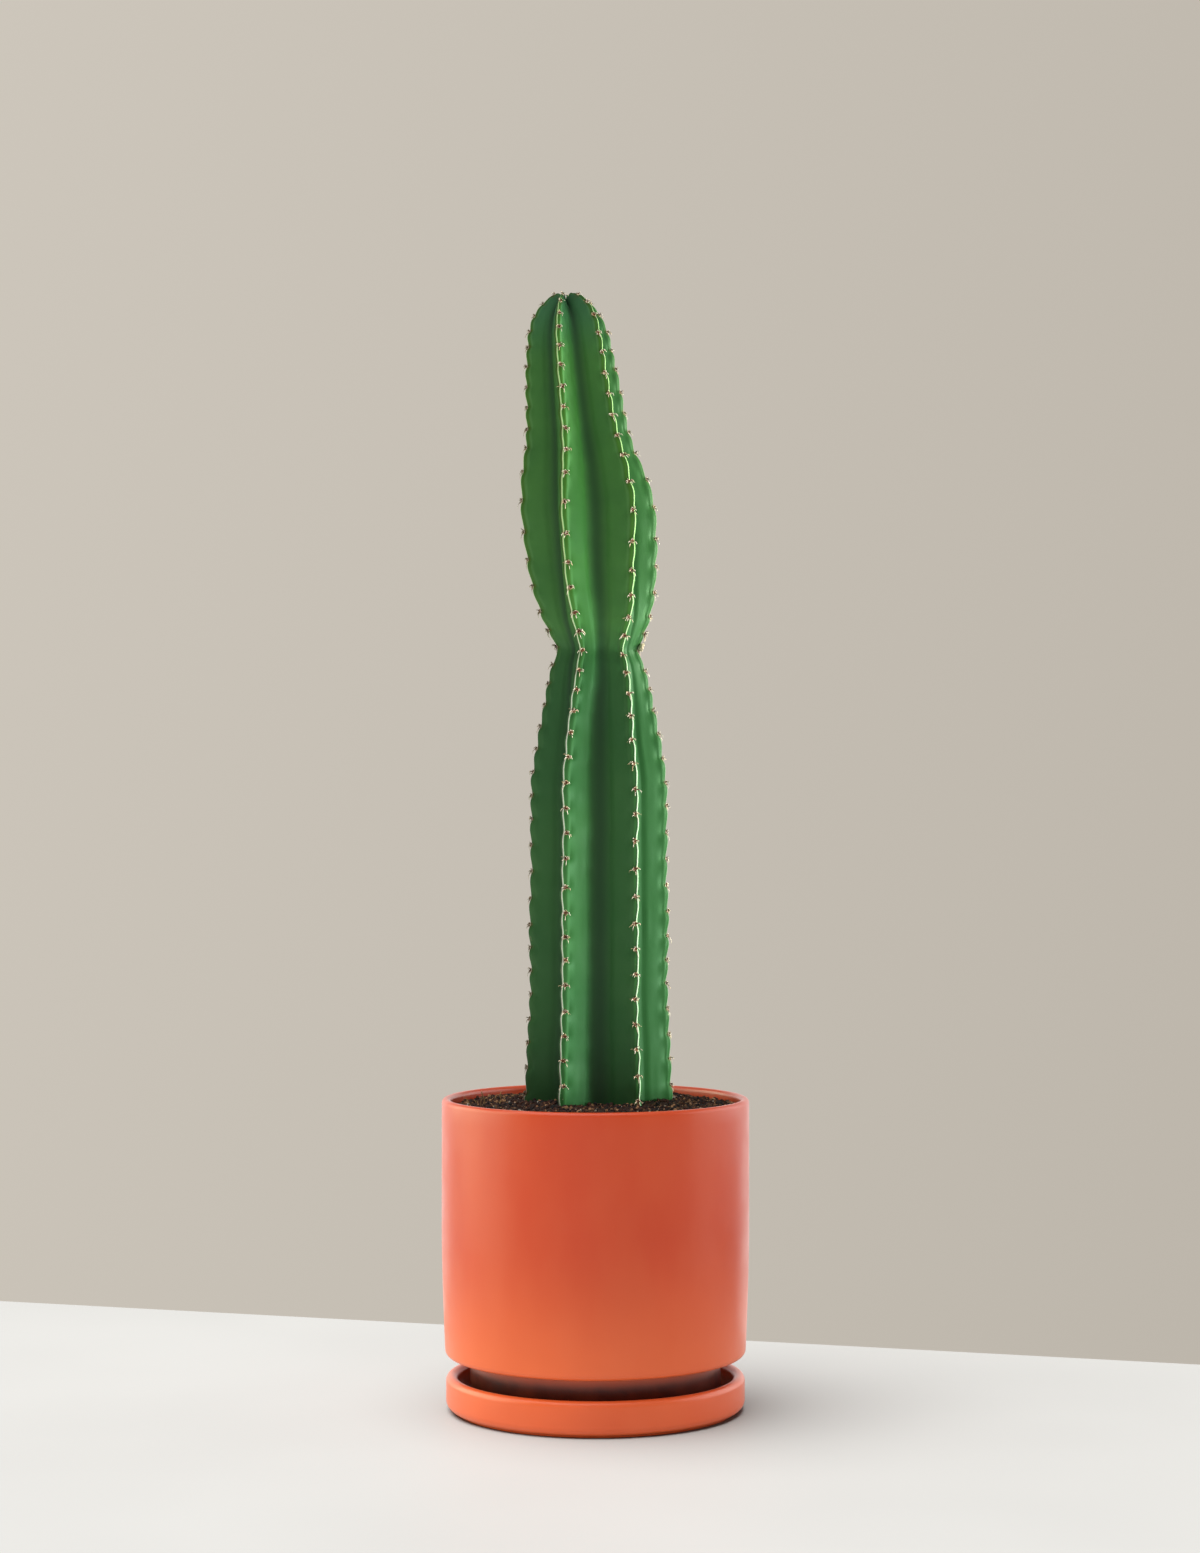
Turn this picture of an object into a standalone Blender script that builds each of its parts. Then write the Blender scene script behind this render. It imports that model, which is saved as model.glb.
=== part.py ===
"""A tall ribbed cactus in a straight cylinder pot on a saucer.

Blender 4.5, metres, +Z up. The origin is on the pot's axis, at the height of the surface that the
saucer stands on, and -Y is the front. Four separate pieces: the saucer, the pot standing in it, the
soil that fills the pot, and the cactus stem planted in a pocket of the soil.
"""

import math

import bmesh
import bpy
from mathutils import Vector

# Clearances and smoothness
GAP = 0.0003  # between pieces that touch
TURN_STEPS = 64  # facets around the turned pieces
ARC_STEPS = 4  # facets in a rounded corner

# Saucer
SAUCER_RADIUS = 0.099
SAUCER_HEIGHT = 0.0235
SAUCER_WALL = 0.008
SAUCER_BASE_RADIUS = 0.006  # rounding between its side and its underside
SAUCER_FLOOR_TOP = 0.0067
SAUCER_FOOT_OUTER = 0.0930
SAUCER_FOOT_INNER = 0.0800
SAUCER_FOOT_HEIGHT = 0.0012
SAUCER_FLOOR_FILLET = 0.0030

# Pot
POT_RADIUS = 0.102
POT_TOP = 0.206
POT_WALL = 0.006
POT_TAPER_TOP = 0.120  # straight above this height, easing in below it
POT_LOWER_RADIUS = 0.0995
POT_LOWER_EDGE = 0.0365
POT_EDGE_ROUNDING = 0.004
POT_TAPER_STEPS = 4
POT_SHOULDER_RISE = 0.0015  # the undercut falls this much towards the foot
POT_FOOT_RADIUS = 0.083
POT_FOOT_WALL = 0.007
POT_BASE = SAUCER_FLOOR_TOP + GAP
POT_FOOT_RECESS = 0.003
POT_FLOOR_TOP = POT_BASE + 0.010
POT_INNER_SHOULDER = 0.044  # height where the inside widens above the foot
POT_INNER_SHOULDER_RISE = 0.009
DRAIN_RADIUS = 0.008
DRAIN_NOTCH_WIDTH = 0.010
DRAIN_NOTCH_HEIGHT = 0.0025

# Soil
SOIL_EDGE_TOP = 0.1995
SOIL_SHOULDER_TOP = 0.2028
SOIL_SHOULDER_RADIUS = 0.070
SOIL_CENTRE_TOP = 0.2045

# Cactus stem: the sections are six-ribbed stars, listed from the planted base to the growing tip
STEM_BASE = 0.145
STEM_TOP = 0.742
# (height, crest radius): two seasons of growth meet at the waist near 0.503
STEM_GIRTH = (
    (0.145, 0.0200),
    (0.152, 0.0330),
    (0.170, 0.0440),
    (0.200, 0.0487),
    (0.235, 0.0478),
    (0.275, 0.0456),
    (0.320, 0.0461),
    (0.365, 0.0452),
    (0.410, 0.0453),
    (0.445, 0.0403),
    (0.475, 0.0350),
    (0.493, 0.0306),
    (0.503, 0.0268),
    (0.512, 0.0303),
    (0.525, 0.0362),
    (0.545, 0.0408),
    (0.570, 0.0437),
    (0.595, 0.0450),
    (0.617, 0.0420),
    (0.645, 0.0352),
    (0.680, 0.0314),
    (0.705, 0.0287),
    (0.722, 0.0247),
    (0.732, 0.0195),
    (0.738, 0.0125),
    (0.742, 0.0040),
)
# (height, sideways lean of the axis)
STEM_LEAN = (
    (0.145, 0.0020),
    (0.440, 0.0023),
    (0.505, 0.0015),
    (0.550, -0.0015),
    (0.600, -0.0050),
    (0.650, -0.0118),
    (0.700, -0.0168),
    (0.742, -0.0200),
)
# (height, twist in degrees)
STEM_TWIST = (
    (0.145, 0.5),
    (0.440, 1.0),
    (0.505, 6.0),
    (0.550, 6.5),
    (0.600, 10.0),
    (0.650, 15.0),
    (0.742, 16.0),
)
# (height, valley radius as a share of the crest radius)
STEM_VALLEY = (
    (0.145, 0.90),
    (0.180, 0.62),
    (0.210, 0.56),
    (0.450, 0.56),
    (0.503, 0.70),
    (0.560, 0.57),
    (0.650, 0.55),
    (0.742, 0.60),
)
# (height, distance to the next areole up the rib)
AREOLE_SPACING = (
    (0.200, 0.0172),
    (0.300, 0.0159),
    (0.345, 0.0177),
    (0.400, 0.0161),
    (0.430, 0.0162),
    (0.460, 0.0136),
    (0.500, 0.0124),
    (0.510, 0.0110),
    (0.525, 0.0155),
    (0.550, 0.0180),
    (0.580, 0.0203),
    (0.605, 0.0185),
    (0.640, 0.0132),
    (0.670, 0.0146),
    (0.700, 0.0123),
    (0.742, 0.0095),
)
# Each rib's bearing in degrees from the front (-Y) towards +X, and how much of the twist it follows
RIBS = ((-90, 0.5), (-32, 1.0), (33, 1.0), (92, 0.5), (150, 1.0), (210, 1.0))
SCALLOP = 0.0009  # how far a crest swells between areoles and draws in at them
CREST_HALF_WIDTH = 0.0017
CREST_DROP = 0.0006  # the crest is slightly blunt
FLANK_PLACE = 0.42  # where the flank's middle point stands between crest and valley
FLANK_SWELL = 0.0006
VALLEY_ROUNDING = 0.34
FIRST_VISIBLE_RING = 0.196
BURIED_RINGS = (0.145, 0.149, 0.155, 0.166, 0.181)
POCKET_OFFSET = 0.00065  # radial, which leaves about GAP square to the slanting flanks
POCKET_TOP = 0.216

COLLECTION_NAME = "potted_tall_cactus"
CUTTERS_NAME = "cutters"


def remove_all_objects():
    for thing in list(bpy.data.objects):
        bpy.data.objects.remove(thing, do_unlink=True)


def new_collection(name):
    made = bpy.data.collections.new(name)
    bpy.context.scene.collection.children.link(made)
    return made


def new_material(name, color, roughness):
    made = bpy.data.materials.new(name)
    made.use_nodes = True
    shader = made.node_tree.nodes["Principled BSDF"]
    shader.inputs["Base Color"].default_value = (*color, 1.0)
    shader.inputs["Roughness"].default_value = roughness
    shader.inputs["Metallic"].default_value = 0.0
    return made


def new_object(name, mesh, collection, material=None):
    made = bpy.data.objects.new(name, mesh)
    collection.objects.link(made)
    if material:
        mesh.materials.append(material)
    return made


def arc(centre_x, centre_z, radius, start, end):
    """Points of an arc in the profile plane, with its angles in degrees from +X towards +Z."""
    angles = [math.radians(start + (end - start) * i / ARC_STEPS) for i in range(ARC_STEPS + 1)]
    return [(centre_x + radius * math.cos(a), centre_z + radius * math.sin(a)) for a in angles]


def turned(name, profile, collection, material, closed):
    """Turns a profile of (radius, height) points, which runs down its outer side, about Z."""
    count = len(profile)
    edges = [(i, i + 1) for i in range(count - 1)]
    if closed:
        edges.append((count - 1, 0))
    mesh = bpy.data.meshes.new(name)
    mesh.from_pydata([(x, 0.0, z) for x, z in profile], edges, [])
    made = new_object(name, mesh, collection, material)
    screw = made.modifiers.new("turn", "SCREW")
    screw.axis = "Z"
    screw.angle = 2 * math.pi
    screw.steps = TURN_STEPS
    screw.render_steps = TURN_STEPS
    screw.use_merge_vertices = True
    screw.merge_threshold = 0.00001
    screw.use_smooth_shade = True
    return made


def cut(target, cutter):
    boolean = target.modifiers.new("cut by " + cutter.name, "BOOLEAN")
    boolean.operation = "DIFFERENCE"
    boolean.solver = "EXACT"
    boolean.object = cutter


def as_cutter(thing):
    thing.hide_render = True
    thing.display_type = "WIRE"
    return thing


def smooth_value(table, at):
    """Reads a table of (place, value) as a smooth curve that doesn't overshoot its points."""
    if at <= table[0][0]:
        return table[0][1]
    if at >= table[-1][0]:
        return table[-1][1]
    slopes = [
        (after[1] - before[1]) / (after[0] - before[0])
        for before, after in zip(table, table[1:])
    ]
    i = max(k for k in range(len(slopes)) if table[k][0] <= at)

    def tangent(k):
        if k == 0 or k == len(slopes):
            return slopes[min(k, len(slopes) - 1)]
        below, above = slopes[k - 1], slopes[k]
        return 0.0 if below * above <= 0 else 2 * below * above / (below + above)

    width = table[i + 1][0] - table[i][0]
    t = (at - table[i][0]) / width
    start = (2 * t**3 - 3 * t**2 + 1) * table[i][1] + (t**3 - 2 * t**2 + t) * width * tangent(i)
    end = (3 * t**2 - 2 * t**3) * table[i + 1][1] + (t**3 - t**2) * width * tangent(i + 1)
    return start + end


def saucer_profile():
    lip = SAUCER_WALL / 2
    lip_z = SAUCER_HEIGHT - lip
    rim = arc(SAUCER_RADIUS - lip, lip_z, lip, 180, 0)
    side = arc(
        SAUCER_RADIUS - SAUCER_BASE_RADIUS,
        SAUCER_FOOT_HEIGHT + SAUCER_BASE_RADIUS,
        SAUCER_BASE_RADIUS,
        0,
        -75,
    )
    foot = [
        (SAUCER_FOOT_OUTER, SAUCER_FOOT_HEIGHT),
        (SAUCER_FOOT_OUTER, 0.0),
        (SAUCER_FOOT_INNER, 0.0),
        (SAUCER_FOOT_INNER, SAUCER_FOOT_HEIGHT),
        (0.0, SAUCER_FOOT_HEIGHT),
    ]
    inside_x = SAUCER_RADIUS - SAUCER_WALL
    fillet = arc(
        inside_x - SAUCER_FLOOR_FILLET,
        SAUCER_FLOOR_TOP + SAUCER_FLOOR_FILLET,
        SAUCER_FLOOR_FILLET,
        -90,
        0,
    )
    return [(0.0, SAUCER_FLOOR_TOP)] + fillet + rim + side + foot


def pot_outer_radius(height):
    """Straight at the top, then easing in to the lower edge."""
    drop = max(0.0, (POT_TAPER_TOP - height) / (POT_TAPER_TOP - POT_LOWER_EDGE))
    return POT_RADIUS - (POT_RADIUS - POT_LOWER_RADIUS) * drop**1.6


def pot_inner_profile(clearance):
    """The inside from the rim's height down to the floor, drawn in by a clearance."""
    wall_x = POT_RADIUS - POT_WALL - clearance
    lower_x = POT_LOWER_RADIUS - POT_WALL - clearance
    foot_x = POT_FOOT_RADIUS - POT_FOOT_WALL - clearance
    return [
        (wall_x, POT_TAPER_TOP),
        (lower_x, POT_INNER_SHOULDER + POT_INNER_SHOULDER_RISE + clearance),
        (foot_x, POT_INNER_SHOULDER + clearance),
        (foot_x, POT_FLOOR_TOP + clearance),
    ]


def pot_profile():
    lip = POT_WALL / 2
    rim = arc(POT_RADIUS - lip, POT_TOP - lip, lip, 180, 0)
    taper_bottom = POT_LOWER_EDGE + POT_EDGE_ROUNDING
    drop = (POT_TAPER_TOP - taper_bottom) / POT_TAPER_STEPS
    taper_heights = [POT_TAPER_TOP - drop * i for i in range(POT_TAPER_STEPS)]
    side = [(pot_outer_radius(z), z) for z in taper_heights]
    corner_x = pot_outer_radius(taper_bottom) - POT_EDGE_ROUNDING
    corner = arc(corner_x, taper_bottom, POT_EDGE_ROUNDING, 0, -90)
    foot = [
        (POT_FOOT_RADIUS, POT_LOWER_EDGE - POT_SHOULDER_RISE),
        (POT_FOOT_RADIUS, POT_BASE),
        (POT_FOOT_RADIUS - POT_FOOT_WALL, POT_BASE),
        (POT_FOOT_RADIUS - POT_FOOT_WALL, POT_BASE + POT_FOOT_RECESS),
        (DRAIN_RADIUS, POT_BASE + POT_FOOT_RECESS),
        (DRAIN_RADIUS, POT_FLOOR_TOP),
    ]
    inside = pot_inner_profile(0.0)[::-1]
    return rim[1:] + side + corner + foot + inside + rim[:1]


def soil_profile():
    wall_x = POT_RADIUS - POT_WALL - GAP
    top = [
        (0.0, SOIL_CENTRE_TOP),
        (SOIL_SHOULDER_RADIUS, SOIL_SHOULDER_TOP),
        (wall_x, SOIL_EDGE_TOP),
    ]
    return top + pot_inner_profile(GAP) + [(0.0, POT_FLOOR_TOP + GAP)]


def ring_heights():
    """Heights half an areole apart, so that every second ring draws a rib's crest in."""
    heights = []
    at = FIRST_VISIBLE_RING
    while at < STEM_TOP - 0.003:
        heights.append(at)
        at += smooth_value(AREOLE_SPACING, at) / 2
    return heights


def crest_point(rib, height, ring_number, offset):
    """(distance from the axis, bearing in radians) of a rib's crest."""
    bearing, share = RIBS[rib]
    bearing += share * smooth_value(STEM_TWIST, height)
    swell = SCALLOP if (ring_number + rib) % 2 else -SCALLOP
    radius = smooth_value(STEM_GIRTH, height)
    if height < FIRST_VISIBLE_RING or radius < 4 * CREST_HALF_WIDTH:
        swell = 0.0
    return radius + swell + offset, math.radians(bearing)


def placed(distance, bearing):
    return Vector((distance * math.sin(bearing), -distance * math.cos(bearing)))


def star_section(height, ring_number, offset):
    """The stem's outline at a height, as 36 points counter-clockwise seen from above."""
    valley_share = smooth_value(STEM_VALLEY, height)
    points = []
    for rib in range(len(RIBS)):
        radius, bearing = crest_point(rib, height, ring_number, offset)
        radius_2, bearing_2 = crest_point((rib + 1) % len(RIBS), height, ring_number, offset)
        if bearing_2 < bearing:
            bearing_2 += 2 * math.pi
        half_width = min(CREST_HALF_WIDTH, 0.12 * radius)
        crest = placed(radius - CREST_DROP, bearing + half_width / radius)
        crest_2 = placed(radius_2 - CREST_DROP, bearing_2 - half_width / radius_2)
        middle_bearing = (bearing + bearing_2) / 2
        valley_radius = valley_share * (smooth_value(STEM_GIRTH, height) + offset)
        corner = placed(valley_radius, middle_bearing)
        outward = placed(FLANK_SWELL, middle_bearing)
        side = corner.lerp(crest, VALLEY_ROUNDING)
        side_2 = corner.lerp(crest_2, VALLEY_ROUNDING)
        points += [
            crest,
            crest.lerp(corner, FLANK_PLACE) + outward,
            side.lerp(corner, 0.3) + (side_2 - corner) * 0.04,
            side_2.lerp(corner, 0.3) + (side - corner) * 0.04,
            crest_2.lerp(corner, FLANK_PLACE) + outward,
            crest_2,
        ]
    lean = smooth_value(STEM_LEAN, height)
    return [(point.x + lean, point.y, height) for point in points]


def lofted(name, sections, end_low, end_high):
    """A closed mesh through equal rings of points, with a fan to a point at each end."""
    mesh = bpy.data.meshes.new(name)
    shape = bmesh.new()
    rings = [[shape.verts.new(point) for point in section] for section in sections]
    count = len(rings[0])
    for lower, upper in zip(rings, rings[1:]):
        for i in range(count):
            j = (i + 1) % count
            shape.faces.new((lower[i], lower[j], upper[j], upper[i]))
    low = shape.verts.new(end_low)
    high = shape.verts.new(end_high)
    for i in range(count):
        j = (i + 1) % count
        shape.faces.new((low, rings[0][j], rings[0][i]))
        shape.faces.new((high, rings[-1][i], rings[-1][j]))
    bmesh.ops.recalc_face_normals(shape, faces=shape.faces)
    shape.to_mesh(mesh)
    shape.free()
    mesh.shade_smooth()
    mesh.set_sharp_from_angle(angle=math.radians(40))
    return mesh


def stem_sections(offset, top):
    buried = [star_section(z, 0, offset) for z in BURIED_RINGS]
    heights = [z for z in ring_heights() if z < top]
    return buried + [star_section(z, k, offset) for k, z in enumerate(heights)]


def build_stem(collection, material):
    sections = stem_sections(0.0, STEM_TOP)
    low = (smooth_value(STEM_LEAN, STEM_BASE), 0.0, STEM_BASE - 0.002)
    high = (smooth_value(STEM_LEAN, STEM_TOP), 0.0, STEM_TOP)
    new_object("cactus_stem", lofted("cactus_stem", sections, low, high), collection, material)


def build_soil(collection, cutters, material):
    soil = turned("potting_soil", soil_profile(), collection, material, closed=False)
    sections = stem_sections(POCKET_OFFSET, POCKET_TOP)
    lean = smooth_value(STEM_LEAN, STEM_BASE)
    low = (lean, 0.0, STEM_BASE - 0.002 - GAP)
    high = (lean, 0.0, sections[-1][0][2] + 0.001)
    pocket = as_cutter(new_object("stem_pocket", lofted("stem_pocket", sections, low, high), cutters))
    cut(soil, pocket)


def build_pot(collection, cutters, material):
    pot = turned("pot", pot_profile(), collection, material, closed=True)
    reach = 2 * POT_FOOT_RADIUS + 0.010
    depth = 2 * DRAIN_NOTCH_HEIGHT
    for number in range(2):
        mesh = bpy.data.meshes.new("foot_notch")
        shape = bmesh.new()
        bmesh.ops.create_cube(shape, size=1.0)
        bmesh.ops.scale(shape, vec=(reach, DRAIN_NOTCH_WIDTH, depth), verts=shape.verts)
        shape.to_mesh(mesh)
        shape.free()
        notch = as_cutter(new_object(f"foot_notch_{number + 1}", mesh, cutters))
        notch.location = (0.0, 0.0, POT_BASE)
        notch.rotation_euler = (0.0, 0.0, math.radians(45 + 90 * number))
        cut(pot, notch)


def main():
    remove_all_objects()
    parts = new_collection(COLLECTION_NAME)
    cutters = new_collection(CUTTERS_NAME)
    glaze = new_material("coral_glaze", (0.62, 0.12, 0.045), 0.42)
    saucer_glaze = new_material("coral_glaze_saucer", (0.60, 0.13, 0.05), 0.42)
    soil = new_material("dark_soil", (0.030, 0.017, 0.012), 0.95)
    skin = new_material("cactus_skin", (0.045, 0.16, 0.045), 0.45)
    turned("saucer", saucer_profile(), parts, saucer_glaze, closed=False)
    build_pot(parts, cutters, glaze)
    build_soil(parts, cutters, soil)
    build_stem(parts, skin)


main()
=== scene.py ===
"""Looks of the potted tall cactus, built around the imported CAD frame.

The stem, the soil, the pot and the saucer are each remade as a fine mesh that replaces its CAD node,
and the stem also carries its areoles, wool and spines. Metres, +Z up, and -Y is the front.
"""

import math

import bpy
import numpy as np
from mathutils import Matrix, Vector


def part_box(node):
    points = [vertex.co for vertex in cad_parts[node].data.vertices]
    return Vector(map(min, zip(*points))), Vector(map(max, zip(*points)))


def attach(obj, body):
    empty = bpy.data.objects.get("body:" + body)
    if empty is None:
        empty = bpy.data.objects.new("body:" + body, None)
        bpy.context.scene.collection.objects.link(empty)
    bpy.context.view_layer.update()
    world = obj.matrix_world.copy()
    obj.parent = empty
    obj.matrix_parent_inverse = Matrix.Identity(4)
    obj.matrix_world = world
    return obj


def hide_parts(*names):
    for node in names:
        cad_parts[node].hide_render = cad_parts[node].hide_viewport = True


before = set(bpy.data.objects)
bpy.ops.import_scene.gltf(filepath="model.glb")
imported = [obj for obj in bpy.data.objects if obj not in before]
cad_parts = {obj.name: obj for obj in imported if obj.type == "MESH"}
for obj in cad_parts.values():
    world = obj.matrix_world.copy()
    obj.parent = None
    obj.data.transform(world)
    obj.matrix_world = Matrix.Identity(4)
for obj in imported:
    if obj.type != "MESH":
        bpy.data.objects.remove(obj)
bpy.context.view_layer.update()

MM = 0.001
SEED = 20

# Places read from the frame
STEM_LOW, STEM_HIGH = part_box("cactus_stem")
SOIL_LOW, SOIL_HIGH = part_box("potting_soil")
POT_LOW, POT_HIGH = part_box("pot")
SAUCER_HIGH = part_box("saucer")[1]

# ---- The stem's driving dimensions, as the CAD stem has them ----
CROWN_START = STEM_HIGH.z - 37 * MM  # above this the ribs arch over to the growing tip
STEM_GIRTH = (  # (height, crest radius)
    (0.145, 0.0200), (0.152, 0.0330), (0.170, 0.0440), (0.200, 0.0487), (0.235, 0.0478),
    (0.275, 0.0456), (0.320, 0.0461), (0.365, 0.0452), (0.410, 0.0453), (0.445, 0.0403),
    (0.475, 0.0350), (0.493, 0.0306), (0.503, 0.0268), (0.512, 0.0303), (0.525, 0.0362),
    (0.545, 0.0408), (0.570, 0.0437), (0.595, 0.0450), (0.617, 0.0420), (0.645, 0.0352),
    (0.680, 0.0314), (0.705, 0.0287),
)
STEM_LEAN = (  # (height, sideways lean of the axis)
    (0.145, 0.0020), (0.440, 0.0023), (0.505, 0.0015), (0.550, -0.0015), (0.600, -0.0050),
    (0.650, -0.0118), (0.700, -0.0168), (0.742, -0.0200),
)
STEM_TWIST = (  # (height, twist in degrees)
    (0.145, 0.5), (0.440, 1.0), (0.505, 6.0), (0.550, 6.5), (0.600, 10.0),
    (0.650, 15.0), (0.742, 16.0),
)
STEM_VALLEY = (  # (height, valley corner's radius as a share of the crest radius)
    (0.145, 0.90), (0.180, 0.62), (0.210, 0.53), (0.450, 0.53), (0.503, 0.68),
    (0.560, 0.54), (0.650, 0.53), (0.705, 0.53),
)
AREOLE_SPACING = (  # (height, distance to the next areole up the rib)
    (0.200, 0.0172), (0.300, 0.0159), (0.345, 0.0177), (0.400, 0.0161), (0.430, 0.0162),
    (0.460, 0.0136), (0.500, 0.0124), (0.510, 0.0110), (0.525, 0.0155), (0.550, 0.0180),
    (0.580, 0.0203), (0.605, 0.0185), (0.640, 0.0132), (0.670, 0.0146), (0.700, 0.0123),
    (0.742, 0.0095),
)
# Each rib: bearing in degrees from the front towards +X, its share of the twist, the height of its
# lowest visible areole, and how far sideways of the ridge line its areoles sit, in millimetres
RIBS = (
    (-90, 0.5, 0.2090, -0.3),
    (-32, 1.0, 0.1995, 1.5),
    (33, 1.0, 0.2074, -0.9),
    (92, 0.5, 0.1960, 0.4),
    (150, 1.0, 0.2040, 0.9),
    (210, 1.0, 0.2010, -0.9),
)
# The crown's arcs as (share of the crown's start radius, share of the crown's height)
CROWN_CREST = (
    (1.00, 0.00), (0.95, 0.22), (0.88, 0.42), (0.77, 0.61), (0.61, 0.78), (0.44, 0.90),
    (0.29, 0.97), (0.18, 1.00), (0.10, 0.96), (0.04, 0.88),
)
CROWN_VALLEY = (
    (1.00, 0.00), (0.96, 0.16), (0.90, 0.32), (0.80, 0.47), (0.66, 0.59), (0.50, 0.69),
    (0.35, 0.75), (0.24, 0.78), (0.15, 0.79), (0.06, 0.80),
)
SCALLOP = (  # (height, how much a rib's edge swells between areoles)
    (0.200, 0.00150), (0.470, 0.00150), (0.503, 0.00070), (0.540, 0.00145), (0.700, 0.00145),
    (0.742, 0.00060),
)
CROWN_LIFT = (-1.2, 0.0, 2.3, 0.4, 0.6, 0.0)  # millimetres that each rib's arch stands over the rest
SCALLOP_SKEW = 1.8  # over 1, the swelling is nearest the areole above
# The rib's margin from its ridge, as (sideways, inwards) in millimetres
MARGIN = (
    (0.00, 0.00), (0.27, 0.05), (0.47, 0.20), (0.58, 0.46), (0.80, 0.68), (1.25, 0.92),
    (1.75, 1.24), (2.22, 1.66), (2.60, 2.16), (2.86, 2.72), (3.00, 3.28),
)
RIDGE_POINTS = 4  # the first few make the raised pale line
FLANK_SHARES = (0.05, 0.12, 0.21, 0.32, 0.45, 0.58)
MARGIN_REACH = 0.07  # how far down the flank the margin's waves carry, as a share of it
PAINTED_SHADE_RIBS = (2, 3)  # painted shade: the skin is painted a deeper green from each of these ribs to the next
MARGIN_SHARE = 0.12  # the margin's part of the way from ridge to valley, for the materials
VALLEY_ROUNDING = 0.36
VALLEY_STEPS = 6
MOUTH_SHARE = 0.62  # the valley's mouth, as a share of the way from ridge to valley
FULL_SIZE_RADIUS = 0.036  # ribs and areoles have their full size where the crest radius is this
SWAYS = ((100, 0.085, 0.5), (150, 0.024, 0.28))  # (seed, wavelength, degrees) of the ribs' wander
UNEVEN = 0.35 * MM  # how much a crest's radius wanders
SWELL_SHAPE = 0.85  # under 1, the swellings between areoles are blunt
SWELL_MIDDLE = 0.55  # the share of a swelling at which the crest has its plain radius
PLUMPNESS = (0.84, 0.28)  # the margin's width at an areole, and what it gains below the next one up
FLANK_BELLY = 0.55 * MM  # how far the middle of a flank swells out
FLANK_ROLL = 0.25 * MM  # how much that swelling wanders
GROWTH_BLEND = (0.44, 0.60)  # between these heights the old growth's skin gives way to the new
RING_STEP = 1.85 * MM
CROWN_RINGS = 44


# ---- Small helpers ----
def smooth(table, at):
    """Reads a table of (place, value) as a smooth curve that doesn't overshoot its points."""
    places, values = np.array(table, float).T
    slopes = np.diff(values) / np.diff(places)
    tangents = np.zeros(len(values))
    tangents[0], tangents[-1] = slopes[0], slopes[-1]
    below, above = slopes[:-1], slopes[1:]
    same_way = below * above > 0
    total = np.where(same_way, below + above, 1.0)
    tangents[1:-1] = np.where(same_way, 2 * below * above / total, 0.0)
    at = np.clip(np.asarray(at, float), places[0], places[-1])
    i = np.clip(np.searchsorted(places, at, side="right") - 1, 0, len(slopes) - 1)
    width = places[i + 1] - places[i]
    t = (at - places[i]) / width
    low = (2 * t**3 - 3 * t**2 + 1) * values[i] + (t**3 - 2 * t**2 + t) * width * tangents[i]
    high = (3 * t**2 - 2 * t**3) * values[i + 1] + (t**3 - t**2) * width * tangents[i + 1]
    return low + high


def wander(at, seed, wavelength, size):
    """A smooth random wave along a line: three sines of unrelated lengths."""
    random = np.random.default_rng(seed)
    total = np.zeros_like(np.asarray(at, float))
    for share in (1.0, 0.57, 0.31):
        phase = random.uniform(0, 2 * math.pi)
        total += share * np.sin(2 * math.pi * np.asarray(at) / (wavelength * share) + phase)
    return size * total / 1.9


def smoothstep(low, high, value):
    t = np.clip((value - low) / (high - low), 0.0, 1.0)
    return t * t * (3 - 2 * t)


def mesh_object(name, points, faces, smooth_shading=True):
    mesh = bpy.data.meshes.new(name)
    mesh.from_pydata(np.asarray(points).tolist(), [], faces)
    mesh.polygons.foreach_set("use_smooth", [smooth_shading] * len(mesh.polygons))
    mesh.update()
    made = bpy.data.objects.new(name, mesh)
    bpy.context.scene.collection.objects.link(made)
    return made


def add_values(thing, name, values):
    """Stores one number per vertex, for the materials."""
    attribute = thing.data.attributes.new(name, "FLOAT", "POINT")
    attribute.data.foreach_set("value", np.asarray(values, np.float32).ravel())


def grid_faces(rows, columns):
    """Quads of a grid that closes on itself sideways, as vertex numbers."""
    first = np.arange(rows - 1)[:, None] * columns
    here = np.arange(columns)[None, :]
    after = (here + 1) % columns
    quads = np.stack(
        [first + here, first + after, first + columns + after, first + columns + here], axis=-1
    )
    return quads.reshape(-1, 4).tolist()


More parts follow.
